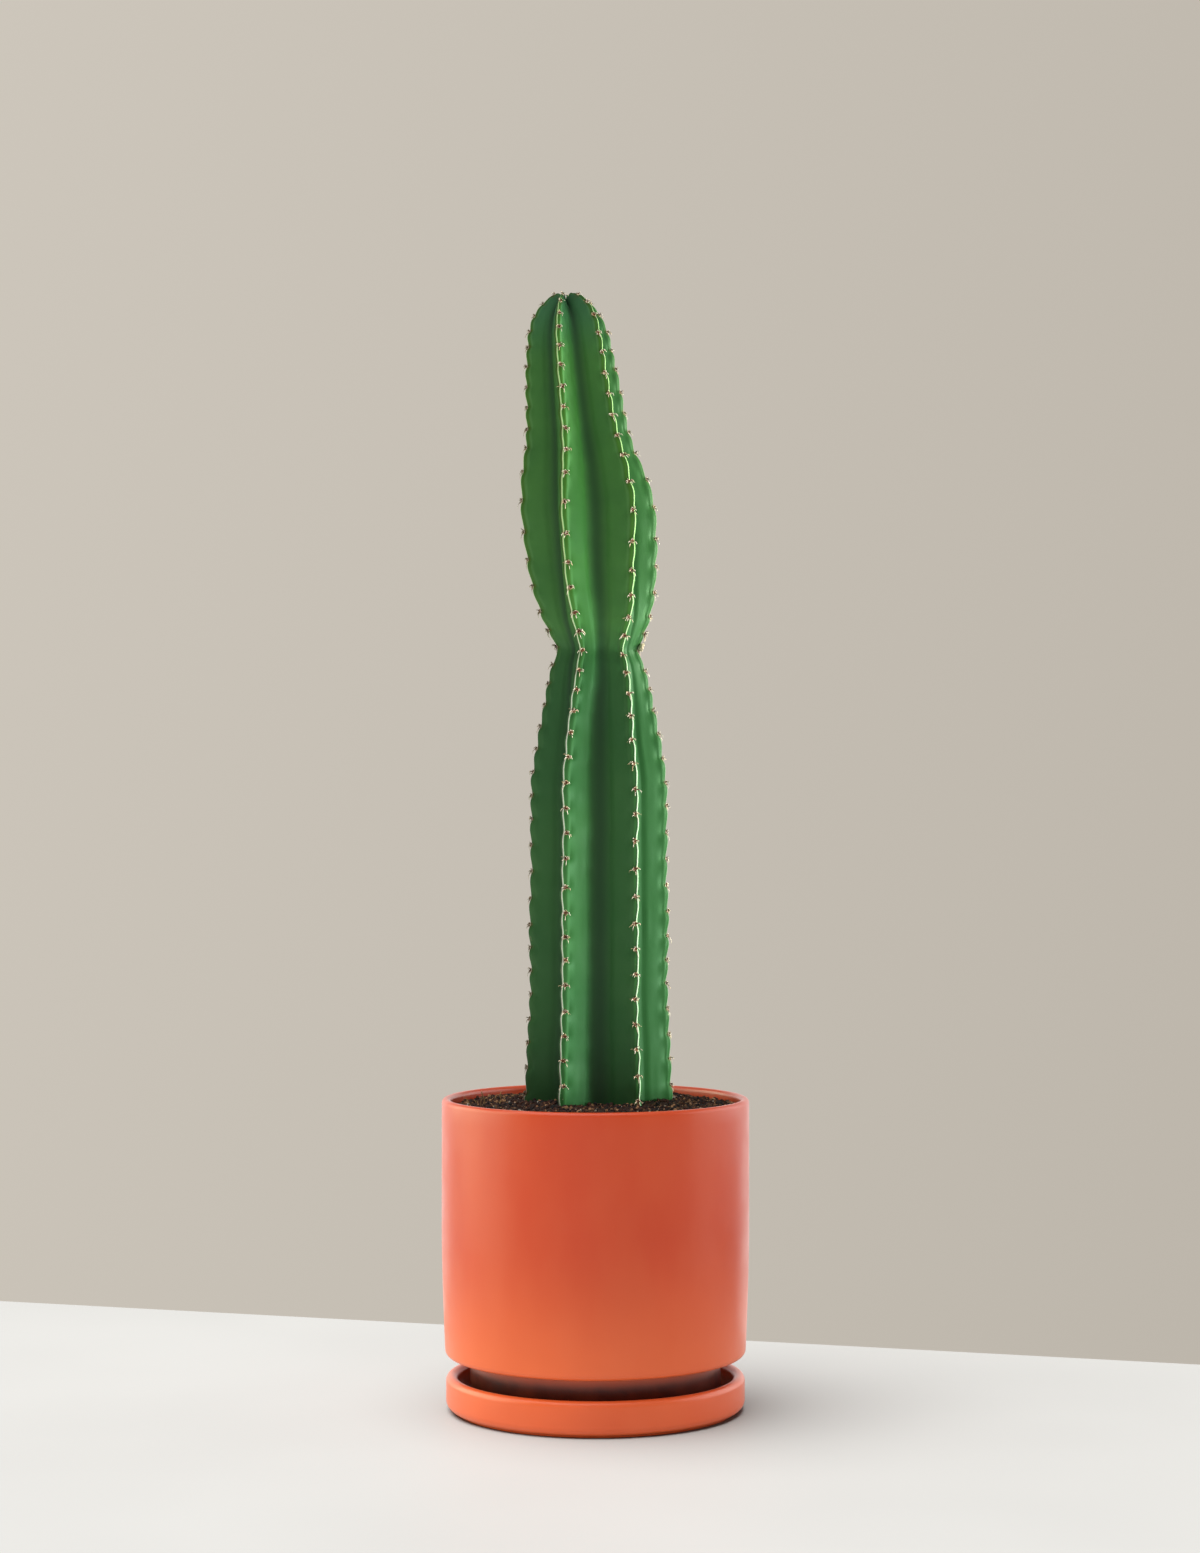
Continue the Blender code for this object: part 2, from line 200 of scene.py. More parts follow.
# ---- Material helpers ----
class Nodes:
    """Builds the node tree of a new material, or of a new world, with short calls."""

    def __init__(self, name, kind=bpy.data.materials):
        self.owner = kind.new(name)
        self.owner.use_nodes = True
        self.tree = self.owner.node_tree
        self.place = self.node("ShaderNodeTexCoord", {}).outputs["Object"]

    def fill(self, node, inputs):
        """Gives each named input of a node its value, or links it to another node's output."""
        for key, value in inputs.items():
            if isinstance(value, bpy.types.NodeSocket):
                self.tree.links.new(value, node.inputs[key])
            elif value is not None:
                node.inputs[key].default_value = value

    def node(self, kind, inputs, **settings):
        made = self.tree.nodes.new(kind)
        for key, value in settings.items():
            setattr(made, key, value)
        self.fill(made, inputs)
        return made

    def attribute(self, name):
        return self.node("ShaderNodeAttribute", {}, attribute_name=name).outputs["Fac"]

    def noise(self, scale, detail=2.0, roughness=0.5, stretch=None):
        place = self.place
        if stretch:
            mapping = self.node("ShaderNodeMapping", {"Vector": place, "Scale": stretch})
            place = mapping.outputs["Vector"]
        inputs = {"Vector": place, "Scale": scale, "Detail": detail, "Roughness": roughness}
        return self.node("ShaderNodeTexNoise", inputs).outputs["Fac"]

    def spots(self, scale):
        """Distance to the nearest of many scattered points."""
        inputs = {"Vector": self.place, "Scale": scale}
        return self.node("ShaderNodeTexVoronoi", inputs).outputs["Distance"]

    def height(self):
        return self.node("ShaderNodeSeparateXYZ", {"Vector": self.place}).outputs["Z"]

    def radius(self):
        """Distance from the object's Z axis."""
        inputs = {0: self.place, 1: (1.0, 1.0, 0.0)}
        flat = self.node("ShaderNodeVectorMath", inputs, operation="MULTIPLY").outputs["Vector"]
        return self.node("ShaderNodeVectorMath", {0: flat}, operation="LENGTH").outputs["Value"]

    def span(self, value, low, high, to_low=0.0, to_high=1.0):
        """Turns the range low..high of a value into to_low..to_high, with soft ends."""
        inputs = {"Value": value, "From Min": low, "From Max": high, "To Min": to_low, "To Max": to_high}
        return self.node("ShaderNodeMapRange", inputs, interpolation_type="SMOOTHSTEP").outputs["Result"]

    def math(self, operation, first, second):
        return self.node("ShaderNodeMath", {0: first, 1: second}, operation=operation).outputs["Value"]

    def times(self, first, *others):
        """The product of masks and numbers."""
        for other in others:
            first = self.math("MULTIPLY", first, other)
        return first

    def mix(self, share, first, second):
        return self.node("ShaderNodeMix", {0: share, 6: first, 7: second}, data_type="RGBA").outputs[2]

    def layers(self, color, *layers):
        """A colour with each (mask, colour) laid over it in turn."""
        for mask, over in layers:
            color = self.mix(mask, color, over)
        return color

    def bump(self, height, strength, distance, under=None):
        inputs = {"Height": height, "Strength": strength, "Distance": distance, "Normal": under}
        return self.node("ShaderNodeBump", inputs).outputs["Normal"]

    def finish(self, color, roughness, normal=None, **more):
        inputs = {"Base Color": color, "Roughness": roughness, "Normal": normal, **more}
        self.fill(self.tree.nodes["Principled BSDF"], inputs)
        return self.owner


def rgb(red, green, blue):
    """A linear colour from display values of 0 to 255."""
    def linear(value):
        value /= 255
        return value / 12.92 if value <= 0.04045 else ((value + 0.055) / 1.055) ** 2.4
    return (linear(red), linear(green), linear(blue), 1.0)


# ---- The stem ----
def areole_heights(rib):
    """Heights of a rib's areoles, from one that is buried up to the crown."""
    at = RIBS[rib][2]
    random = np.random.default_rng(SEED + 7 * rib)
    heights = [at - float(smooth(AREOLE_SPACING, at))]
    while at < STEM_HIGH.z - 1 * MM:
        heights.append(at)
        spacing = float(smooth(AREOLE_SPACING, at))
        at += spacing * (1 + random.uniform(-0.06, 0.06))
    heights.append(at)
    return np.array(heights)


AREOLES = [areole_heights(rib) for rib in range(len(RIBS))]


def rib_bearing(rib, height):
    """A rib's bearing in radians, with a slight natural wander."""
    bearing, share, *_ = RIBS[rib]
    sway = sum(wander(height, SEED + seed + rib, length, size) for seed, length, size in SWAYS)
    return np.radians(bearing + share * smooth(STEM_TWIST, height) + sway)


def scallop(rib, along):
    """0 at an areole, rising to 1 below the next one up; along is the height on the rib."""
    marks = AREOLES[rib]
    i = np.clip(np.searchsorted(marks, along, side="right") - 1, 0, len(marks) - 2)
    share = np.clip((along - marks[i]) / (marks[i + 1] - marks[i]), 0.0, 1.0)
    return np.sin(math.pi * share**SCALLOP_SKEW) ** SWELL_SHAPE


def areole_distance(rib, along):
    """Distance up or down the rib to the nearest areole."""
    marks = AREOLES[rib]
    return np.min(np.abs(np.asarray(along)[..., None] - marks), axis=-1)


def stem_rings():
    """Per ring: crest height and radius, valley height and radius, and the height along the rib."""
    straight = np.arange(STEM_LOW.z + 2 * MM, CROWN_START, RING_STEP)
    girth = smooth(STEM_GIRTH, straight)
    valley = girth * smooth(STEM_VALLEY, straight)
    u = np.linspace(0.0, 1.0, CROWN_RINGS)
    knots = np.linspace(0.0, 1.0, len(CROWN_CREST))
    crest_share, crest_rise = np.array(CROWN_CREST).T
    valley_share, valley_rise = np.array(CROWN_VALLEY).T
    crown_height = STEM_HIGH.z - 0.6 * MM - CROWN_START
    start = float(smooth(STEM_GIRTH, CROWN_START))
    valley_start = start * float(smooth(STEM_VALLEY, CROWN_START))

    def along_arc(values):
        return smooth(list(zip(knots, values)), u)

    crown_crest_r = start * along_arc(crest_share)
    crown_crest_z = CROWN_START + crown_height * along_arc(crest_rise)
    crown_valley_r = valley_start * along_arc(valley_share)
    crown_valley_z = CROWN_START + crown_height * along_arc(valley_rise)
    steps = np.hypot(np.diff(crown_crest_r), np.diff(crown_crest_z))
    crown_along = CROWN_START + np.concatenate([[0.0], np.cumsum(steps)])
    return (
        np.concatenate([straight, crown_crest_z]),
        np.concatenate([girth, crown_crest_r]),
        np.concatenate([straight, crown_valley_z]),
        np.concatenate([valley, crown_valley_r]),
        np.concatenate([straight, crown_along]),
    )


def rib_frame(rib, height):
    """Outward and sideways unit vectors of a rib at each height, as arrays of (x, y)."""
    bearing = rib_bearing(rib, height)
    outward = np.stack([np.sin(bearing), -np.cos(bearing)], axis=-1)
    sideways = np.stack([np.cos(bearing), np.sin(bearing)], axis=-1)
    return outward, sideways


def crown_arch(rings):
    """0 up to the crown, then rising and falling over its outer rings."""
    over_crown = np.sin(math.pi * np.minimum(np.linspace(0.0, 1.4, CROWN_RINGS), 1.0))
    return np.concatenate([np.zeros(rings - CROWN_RINGS), over_crown])


def rib_size(crest_r):
    """The ribs' fineness, 1 on the full stem and less where the crown closes."""
    return np.clip(crest_r / FULL_SIZE_RADIUS, 0.12, 1.0)


def crest_radius(rib, crest_r, along, fade=1.0):
    """A rib's radius with its scallops and a slight unevenness."""
    swing = smooth(SCALLOP, along) * (scallop(rib, along) - SWELL_MIDDLE)
    return crest_r + fade * (swing + wander(along, SEED + 200 + rib, 0.06, UNEVEN))


def stem_shape():
    """The stem's points as (ring, column, xyz), and the values its skin is painted by."""
    crest_z, crest_r, valley_z, valley_r, along = stem_rings()
    lean = smooth(STEM_LEAN, crest_z)
    axis = np.stack([lean, np.zeros_like(lean)], axis=-1)
    fade = smoothstep(STEM_LOW.z + 0.02, STEM_LOW.z + 0.05, crest_z)
    size = rib_size(crest_r)
    arch = crown_arch(len(crest_z))
    shapes = []
    for rib in range(len(RIBS)):
        radius = crest_radius(rib, crest_r, along, fade)
        shapes.append((rib, rib_frame(rib, crest_z), radius, scallop(rib, along)))

    columns, ridge, near_areole, flank, painted_shade = [], [], [], [], []
    for here, there in zip(shapes, shapes[1:] + shapes[:1]):
        bearing = rib_bearing(here[0], crest_z)
        bearing_2 = rib_bearing(there[0], crest_z)
        bearing_2 = np.where(bearing_2 < bearing, bearing_2 + 2 * math.pi, bearing_2)
        middle = (bearing + bearing_2) / 2
        corner = axis + valley_r[:, None] * np.stack([np.sin(middle), -np.cos(middle)], axis=-1)
        halves = []
        for shape, side in ((here, 1.0), (there, -1.0)):
            halves.append(half_section(shape, side, axis, corner, size, along, crest_r))
        (margin, flanks, mouth), (margin_2, flanks_2, mouth_2) = halves
        valley = []
        for step in range(1, 2 * VALLEY_STEPS):
            t = step / (2 * VALLEY_STEPS)
            point = (1 - t) ** 2 * mouth + 2 * t * (1 - t) * corner + t**2 * mouth_2
            valley.append((point, MOUTH_SHARE + 2 * (1 - MOUTH_SHARE) * min(t, 1 - t)))
        chain = [(point, share, here[0]) for point, share in margin + flanks]
        chain.append((mouth, MOUTH_SHARE, here[0]))
        chain += [(point, share, here[0] if k < VALLEY_STEPS else there[0])
                  for k, (point, share) in enumerate(valley)]
        chain.append((mouth_2, MOUTH_SHARE, there[0]))
        chain += [(point, share, there[0]) for point, share in (margin_2 + flanks_2)[::-1][:-1]]
        crest = margin[0][0]
        crest_2 = margin_2[0][0]
        for point, share, rib in chain:
            lift = CROWN_LIFT[rib] * MM * arch * (1 - min(share, 1.0))
            z = crest_z + (valley_z - crest_z) * min(share, 1.0) + lift
            own_crest = crest if rib == here[0] else crest_2
            columns.append(np.concatenate([point, z[:, None]], axis=1))
            distance = np.linalg.norm(point - own_crest, axis=1)
            ridge.append(distance)
            near_areole.append(np.hypot(distance, areole_distance(rib, along)))
            flank.append(np.full_like(distance, share))
            # painted shade: from each listed rib to the next the skin is marked for a deeper green, all but
            # the first listed rib's pale line
            on_first_line = rib == PAINTED_SHADE_RIBS[0] and share < MARGIN_SHARE / 2
            painted_shade.append(np.full_like(distance, here[0] in PAINTED_SHADE_RIBS and not on_first_line))
    ridge, near_areole = np.array(ridge) / MM, np.array(near_areole) / MM
    values = {"ridge_mm": ridge, "areole_mm": near_areole, "flank": flank, "painted_shade": painted_shade}
    return np.stack(columns, axis=1), {name: np.stack(value, axis=1) for name, value in values.items()}


def half_section(shape, side, axis, corner, size, along, plain_radius):
    """One side of a rib, from its ridge to the mouth of the valley, as (points, place) pairs."""
    rib, (outward, sideways), radius, swell = shape
    plump = PLUMPNESS[0] + PLUMPNESS[1] * swell
    margin = []
    for number, (across, inward) in enumerate(MARGIN):
        width = across * MM * size * (plump if number >= RIDGE_POINTS else 1.0) * side
        point = axis + (radius - inward * MM * size)[:, None] * outward + width[:, None] * sideways
        margin.append((point, MARGIN_SHARE * number / (len(MARGIN) - 1)))
    shoulder = margin[-1][0]
    across, inward = MARGIN[-1]
    even = axis + (plain_radius - inward * MM * size)[:, None] * outward
    even = even + (across * MM * size * side)[:, None] * sideways
    run = corner - even
    length = np.linalg.norm(run, axis=1)
    normal = side * np.stack([-run[:, 1], run[:, 0]], axis=-1) / np.maximum(length, 1e-9)[:, None]
    normal *= np.sign(np.sum(normal * outward, axis=1))[:, None]
    flanks = []
    mouth = corner + VALLEY_ROUNDING * (even - corner)
    for share in FLANK_SHARES:
        carried = math.exp(-((share / MARGIN_REACH) ** 2))
        belly = FLANK_BELLY * math.sin(math.pi * share) * size
        roll = wander(along + 0.3 * share, SEED + 300 + rib + int(side), 0.10, FLANK_ROLL) * size
        offset = belly + roll * math.sin(math.pi * share)
        point = even + share * run + carried * (shoulder - even) + offset[:, None] * normal
        flanks.append((point, MARGIN_SHARE + 0.8 * share))
    return margin, flanks, mouth


def build_stem():
    points, values = stem_shape()
    rows, columns, _ = points.shape
    flat = points.reshape(-1, 3)
    faces = grid_faces(rows, columns)
    bottom = flat[:columns].mean(axis=0) - (0, 0, 2 * MM)
    top = flat[-columns:].mean(axis=0)
    low, high = len(flat), len(flat) + 1
    for i in range(columns):
        j = (i + 1) % columns
        faces.append((low, j, i))
        faces.append((high, (rows - 1) * columns + i, (rows - 1) * columns + j))
    stem = mesh_object("cactus_body", np.vstack([flat, bottom, top]), faces)
    at_ends = {"ridge_mm": (20.0, 1.0), "areole_mm": (20.0, 2.0), "flank": (1.0, 1.0), "painted_shade": (0.0, 0.0)}
    for name, bottom_and_top in at_ends.items():
        add_values(stem, name, np.append(values[name].ravel(), bottom_and_top))
    return stem, points


def skin_material():
    n = Nodes("cactus_skin")
    ridge, areole = n.attribute("ridge_mm"), n.attribute("areole_mm")
    flank, painted_shade = n.attribute("flank"), n.attribute("painted_shade")
    height = n.height()
    older, newer, youngest = rgb(58, 108, 60), rgb(76, 134, 64), rgb(74, 132, 92)
    mottle = n.span(n.noise(38, 3, 0.55), 0.30, 0.70)
    cloud = n.span(n.noise(12, 2, 0.5, (1, 1, 0.5)), 0.35, 0.68)
    # painted shade: the skin darkens towards the bottom of each valley between ribs
    valley = n.span(flank, 0.50, 1.0)
    past_ridge = n.span(flank, 0.035, 0.055)
    band = n.times(
        n.span(flank, 0.115, 0.075), past_ridge, n.span(height, *GROWTH_BLEND, 0.10, 0.80)
    )
    # painted highlight: a pale strip along each rib's shoulder, just past the margin, stronger on the new
    # growth
    lip = n.times(
        n.span(flank, 0.085, 0.112), n.span(flank, 0.165, 0.120), n.span(height, *GROWTH_BLEND, 0.05, 0.16)
    )
    speckle = n.times(n.span(n.spots(900), 0.16, 0.05), n.span(n.noise(70, 2), 0.52, 0.66))
    scar_noise = n.span(n.noise(420, 3, 0.6, (1, 1, 0.6)), 0.60, 0.68)
    scar_place = n.times(n.span(ridge, 3.6, 1.2), n.span(height, 0.37, 0.24))
    scars = n.times(scar_noise, scar_place, n.span(n.noise(60, 2), 0.50, 0.60))
    tinge = n.times(n.span(areole, 3.4, 1.4), n.span(n.noise(300, 2), 0.35, 0.65))
    line_break = n.span(n.noise(170, 3, 0.6), 0.28, 0.40, 0.65, 1.0)
    below_tip = n.span(height, 0.7395, 0.7345)
    # the pale line is dimmed to about a third where the painted shade lies
    line = n.times(
        n.span(flank, 0.028, 0.018), line_break, below_tip, n.span(painted_shade, 0.0, 1.0, 1.0, 0.35)
    )
    pale = n.mix(n.span(height, 0.44, 0.58), rgb(238, 242, 222), rgb(214, 244, 172))
    color = n.layers(
        older,
        (n.span(height, 0.495, 0.525), newer),
        (n.span(height, 0.690, 0.742), youngest),
        (n.times(mottle, 0.30), rgb(44, 98, 52)),
        (n.times(cloud, 0.18), rgb(86, 142, 66)),
        # painted shade deep in the valleys
        (n.times(valley, 0.70), rgb(36, 64, 42)),
        (band, rgb(70, 116, 34)),
        # painted highlight on the rib's shoulder
        (lip, rgb(132, 182, 112)),
        # painted shade: a deeper green from each listed rib to the next
        (n.times(painted_shade, 0.72), rgb(38, 82, 40)),
        (n.times(speckle, 0.25), rgb(128, 172, 116)),
        (scars, rgb(196, 190, 150)),
        (n.times(tinge, 0.45), rgb(116, 92, 48)),
        (line, pale),
    )
    normal = n.bump(n.noise(60, 2, 0.5), 0.30, 0.0010)
    normal = n.bump(n.span(n.spots(1300), 0.0, 0.35), 0.08, 0.0002, normal)
    normal = n.bump(n.noise(1500, 2, 0.6), 0.10, 0.0002, normal)
    rough = n.span(n.noise(55, 3), 0.3, 0.7, 0.46, 0.58)
    rough = n.math("ADD", rough, n.times(line, 0.15))
    return n.finish(color, rough, normal, **{"Specular IOR Level": 0.20})


# ---- Areoles, wool and spines ----
WAIST_HEIGHT = 0.510
TUFTED_RIB = 3
SPINE_POINTS = 7
HAIR_POINTS = 4
HAIRS, TUFT_HAIRS = 20, 170
TUFT_SHIFT = (-1.0 * MM, -9.0 * MM)  # sideways and up from the tufted areole, into the notch
CUSHION_SIZES = ((1.30, 1.65), (1.05, 1.35), (0.95, 1.25))  # width, height, thickness in millimetres
CUSHION_RISE = 0.15 * MM
CUSHION_SUNK = 0.35 * MM


def read_columns(at, along, rows):
    """Reads every column of rows at a place along the rib."""
    return np.array([np.interp(at, along, column) for column in rows.T])


def areole_places():
    """(position, outward, sideways, upward, size, rib, height) of every visible areole."""
    crest_z, crest_r, _, _, along = stem_rings()
    places = []
    for rib in range(len(RIBS)):
        outward, sideways = rib_frame(rib, crest_z)
        lean = smooth(STEM_LEAN, crest_z)
        size = rib_size(crest_r)
        radius = crest_radius(rib, crest_r, along)
        height_here = crest_z + CROWN_LIFT[rib] * MM * crown_arch(len(crest_z))
        line = np.stack(
            [lean + radius * outward[:, 0], radius * outward[:, 1], height_here], axis=-1
        )
        for height in AREOLES[rib]:
            if not SOIL_HIGH.z - 3 * MM < height < along[-3]:
                continue
            spot, above, below = (
                read_columns(height + step, along, line) for step in (0.0, 4 * MM, -4 * MM)
            )
            upward = (above - below) / np.linalg.norm(above - below)
            side = np.append(read_columns(height, along, sideways), 0.0)
            side /= np.linalg.norm(side)
            out = np.cross(side, upward)
            scale = float(np.interp(height, along, size))
            off_ridge = RIBS[rib][3] * MM * scale
            drop = np.interp(abs(RIBS[rib][3]), *np.array(MARGIN).T) * MM * scale
            spot = spot + off_ridge * side - drop * out
            tilt = math.radians(22) * RIBS[rib][3]
            faced_out = math.cos(tilt) * out + math.sin(tilt) * side
            faced_side = math.cos(tilt) * side - math.sin(tilt) * out
            places.append((spot, faced_out, faced_side, upward, scale, rib, height))
    return places


def in_frame(place, across, up, out):
    spot, outward, sideways, upward, *_ = place
    return spot + across * sideways + up * upward + out * outward


def tube_faces(first, rings, around):
    """Faces of rings of points numbered from first, closed by a flat base and a point at the tip."""
    faces = []
    for low in range(first, first + (rings - 1) * around, around):
        for k in range(around):
            j = (k + 1) % around
            faces.append((low + k, low + j, low + around + j, low + around + k))
    last = first + (rings - 1) * around
    faces += [(last + k, last + (k + 1) % around, last + around) for k in range(around)]
    faces.append(tuple(first + k for k in range(around))[::-1])
    return faces


def build_cushions(places):
    """A felted oval cushion at each areole."""
    points, faces, rim = [], [], []
    around, rings = 12, 5
    random = np.random.default_rng(SEED + 1)
    for place in places:
        size = 0.45 + 0.55 * place[4]
        first = len(points)
        width, tall, proud = [random.uniform(*sizes) * MM * size for sizes in CUSHION_SIZES]
        for ring in range(rings):
            lift = ring / rings
            spread = math.sqrt(1 - lift**2)
            for k in range(around):
                turn = 2 * math.pi * k / around
                jitter = 1 + random.uniform(-0.10, 0.10)
                points.append(in_frame(
                    place,
                    width * spread * math.cos(turn) * jitter,
                    tall * spread * math.sin(turn) * jitter + CUSHION_RISE,
                    proud * lift * jitter - CUSHION_SUNK,
                ))
                rim.append(1 - lift)
        points.append(in_frame(place, 0.0, CUSHION_RISE, proud - CUSHION_SUNK))
        rim.append(0.0)
        faces += tube_faces(first, rings, around)
    cushions = mesh_object("cactus_areoles", points, faces)
    add_values(cushions, "rim", rim)
    return cushions


def tube_batch(name, curves, sides):
    """Thin tapered tubes along curves of (points, radii, tone), all in one mesh."""
    points, faces, tones, alongs = [], [], [], []
    for line, radii, tone in curves:
        first = len(points)
        line = np.asarray(line)
        tangents = np.gradient(line, axis=0)
        tangents /= np.linalg.norm(tangents, axis=1)[:, None]
        reference = np.array([0.0, 0.0, 1.0]) if abs(tangents[0][2]) < 0.9 else np.array([1.0, 0, 0])
        for point, tangent, radius in zip(line[:-1], tangents[:-1], radii[:-1]):
            across = np.cross(tangent, reference)
            across /= np.linalg.norm(across)
            over = np.cross(tangent, across)
            for k in range(sides):
                turn = 2 * math.pi * k / sides
                points.append(point + radius * (math.cos(turn) * across + math.sin(turn) * over))
        points.append(line[-1])
        rows = len(line) - 1
        faces += tube_faces(first, rows, sides)
        tones += [tone] * (rows * sides + 1)
        alongs += [row / rows for row in range(rows) for _ in range(sides)] + [1.0]
    tubes = mesh_object(name, points, faces)
    add_values(tubes, "tone", tones)
    add_values(tubes, "along", alongs)
    return tubes


def curved_spine(place, root, turn, length, lift, droop):
    """Points of a spine that leaves an areole at a turn in its face plane and hooks downwards."""
    across, up = math.cos(turn), math.sin(turn)
    line = []
    for t in np.linspace(0.0, 1.0, SPINE_POINTS):
        reach = length * math.sin(0.5 * math.pi * t)
        line.append(in_frame(
            place,
            root[0] + across * reach,
            root[1] + up * reach - droop * length * t**2.2,
            0.2 * MM + lift * length * math.sin(2.0 * t),
        ))
    return line


def build_spines(places):
    """Hooked radial spines at each areole, a longer thin one now and then, and more at the waist."""
    random = np.random.default_rng(SEED + 2)
    curves = []
    for place in places:
        size = 0.55 + 0.45 * place[4]
        at_waist = abs(place[6] - WAIST_HEIGHT) < 7 * MM
        turns = [random.uniform(-15, 35), random.uniform(20, 70), random.uniform(110, 160),
                 random.uniform(145, 195), random.uniform(200, 340), random.uniform(60, 120)]
        if at_waist:
            turns += list(random.uniform(0, 360, 5))
        for turn in turns:
            length = random.uniform(2.0, 3.3) * MM * (1.35 if at_waist else 1.0)
            root = random.uniform(-0.5, 0.5, 2) * MM * size
            lift, droop = random.uniform(0.35, 0.75), random.uniform(0.55, 1.05)
            line = curved_spine(place, root, math.radians(turn), length * size, lift, droop)
            thick = random.uniform(0.27, 0.38) * MM * size
            curves.append((line, thick * np.linspace(1.0, 0.45, SPINE_POINTS), random.random()))
        if random.random() < 0.45:
            turn = random.choice([random.uniform(-20, 25), random.uniform(155, 200)])
            length = random.uniform(3.2, 5.2) * MM * size
            line = curved_spine(place, (0.0, 0.0), math.radians(turn), length, 0.3, 0.25)
            curves.append((line, 0.15 * MM * np.linspace(1.0, 0.4, SPINE_POINTS), 1.0))
    return tube_batch("cactus_spines", curves, 5)


def build_wool(places):
    """Short curled cream hairs round each areole, and a thick tuft on one rib's waist."""
    random = np.random.default_rng(SEED + 3)
    on_rib = [place for place in places if place[5] == TUFTED_RIB]
    tufted_place = min(on_rib, key=lambda place: abs(place[6] - WAIST_HEIGHT))
    curves = []
    for place in places:
        size = 0.5 + 0.5 * place[4]
        tufted = place is tufted_place
        aside, up = TUFT_SHIFT if tufted else (0.0, 0.0)
        for _ in range(TUFT_HAIRS if tufted else HAIRS):
            turn = random.uniform(0, 2 * math.pi)
            swirl = random.choice([-1.2, 1.2])
            start = random.uniform(0.3, 2.2 if tufted else 1.35) * MM * size
            length = random.uniform(0.8, 1.6) * MM * (2.2 if tufted else 1.0) * size
            line = []
            for t in np.linspace(0.0, 1.0, HAIR_POINTS):
                heading = turn + swirl * t
                line.append(in_frame(
                    place,
                    aside + start * math.cos(turn) + 0.7 * length * t * math.cos(heading),
                    up + start * math.sin(turn) + 0.7 * length * t * math.sin(heading),
                    -0.1 * MM + length * 0.8 * math.sin(2.2 * t),
                ))
            thick = (0.22 if tufted else 0.15) * MM
            tone = random.random() * (0.3 if tufted else 1.0)
            curves.append((line, thick * np.linspace(1.0, 0.5, HAIR_POINTS), tone))
    return tube_batch("cactus_wool", curves, 4)


def cushion_material():
    n = Nodes("areole_felt")
    felt = n.noise(1400, 3, 0.6)
    color = n.layers(
        rgb(70, 40, 22),
        (n.span(felt, 0.35, 0.65), rgb(128, 90, 52)),
        (n.span(n.attribute("rim"), 0.45, 0.95), rgb(236, 226, 200)),
    )
    normal = n.bump(felt, 0.6, 0.0004)
    return n.finish(color, n.span(felt, 0.3, 0.7, 0.82, 0.95), normal)


def spine_material():
    n = Nodes("spine_horn")
    tone = n.attribute("tone")
    root = n.mix(n.span(tone, 0.2, 0.9), rgb(104, 62, 34), rgb(76, 44, 24))
    tip = n.mix(n.span(tone, 0.5, 1.0), rgb(252, 246, 226), rgb(232, 206, 166))
    color = n.layers(
        root,
        (n.span(n.attribute("along"), 0.30, 0.60), tip),
        (n.span(n.noise(700, 2), 0.45, 0.7, 0.0, 0.4), rgb(134, 84, 54)),
    )
    normal = n.bump(n.noise(2500, 2), 0.2, 0.0001)
    return n.finish(color, n.span(tone, 0.0, 1.0, 0.40, 0.55), normal)


def wool_material():
    n = Nodes("areole_wool")
    tone = n.attribute("tone")
    color = n.layers(
        rgb(248, 240, 216),
        (tone, rgb(198, 166, 122)),
        (n.span(n.noise(900, 2), 0.5, 0.7, 0.0, 0.35), rgb(166, 128, 90)),
    )
    return n.finish(color, n.span(tone, 0.0, 1.0, 0.80, 0.95))


# ---- Soil ----
SOIL_EDGE_TOP = 0.1995
SOIL_CENTRE_TOP = 0.2045
SOIL_RADIUS = SOIL_HIGH.x
SOIL_COLUMNS = 420
SOIL_ROWS = 64
STEM_CLEARANCE = 0.6 * MM  # of a crumb's middle
WALL_CLEARANCE = 1.6 * MM
STUBS, FIBRES = 12, 70
SOIL_ROLLS = ((11, 0.030, 0.55 * MM), (12, 0.007, 0.40 * MM))  # (seed, wavelength, size)
SOIL_SIDE = ((1.0, 0.120), (0.973, 0.0538), (0.801, 0.0445), (0.801, SOIL_LOW.z))  # (share, height)
SPROUTS = ((-0.0745, -0.010, 0.0105, 0.55), (-0.0640, -0.013, 0.0095, 0.50))  # (x, y, tall, mm thick)


def soil_mound(radius):
    """The soil's height by distance from the pot's axis, before its crumbs."""
    share = radius / SOIL_RADIUS
    return SOIL_CENTRE_TOP - (SOIL_CENTRE_TOP - SOIL_EDGE_TOP) * share**2.6


def bumps(x, y, seed, wavelength, size):
    """A rolling random surface from sines in random directions."""
    random = np.random.default_rng(seed)
    total = np.zeros_like(x)
    for _ in range(7):
        turn, phase = random.uniform(0, 2 * math.pi, 2)
        length = wavelength * random.uniform(0.6, 1.5)
        total += np.sin(2 * math.pi * (x * math.cos(turn) + y * math.sin(turn)) / length + phase)
    return size * total / 2.6


def soil_height(x, y):
    ground = soil_mound(np.hypot(x, y))
    for seed, wavelength, size in SOIL_ROLLS:
        ground = ground + bumps(x, y, SEED + seed, wavelength, size)
    return ground


def stem_outline(points):
    """The stem's section at the soil as (bearing, radius) round its own axis, sorted."""
    heights = points[:, 0, 2]
    ring = points[np.argmin(np.abs(heights - SOIL_CENTRE_TOP))]
    centre = np.array([float(smooth(STEM_LEAN, SOIL_CENTRE_TOP)), 0.0])
    away = ring[:, :2] - centre
    bearing = np.arctan2(away[:, 1], away[:, 0])
    order = np.argsort(bearing)
    return centre, bearing[order], np.hypot(away[:, 0], away[:, 1])[order]


def outline_radius(outline, bearing):
    _, bearings, radii = outline
    return np.interp(bearing, bearings, radii, period=2 * math.pi)


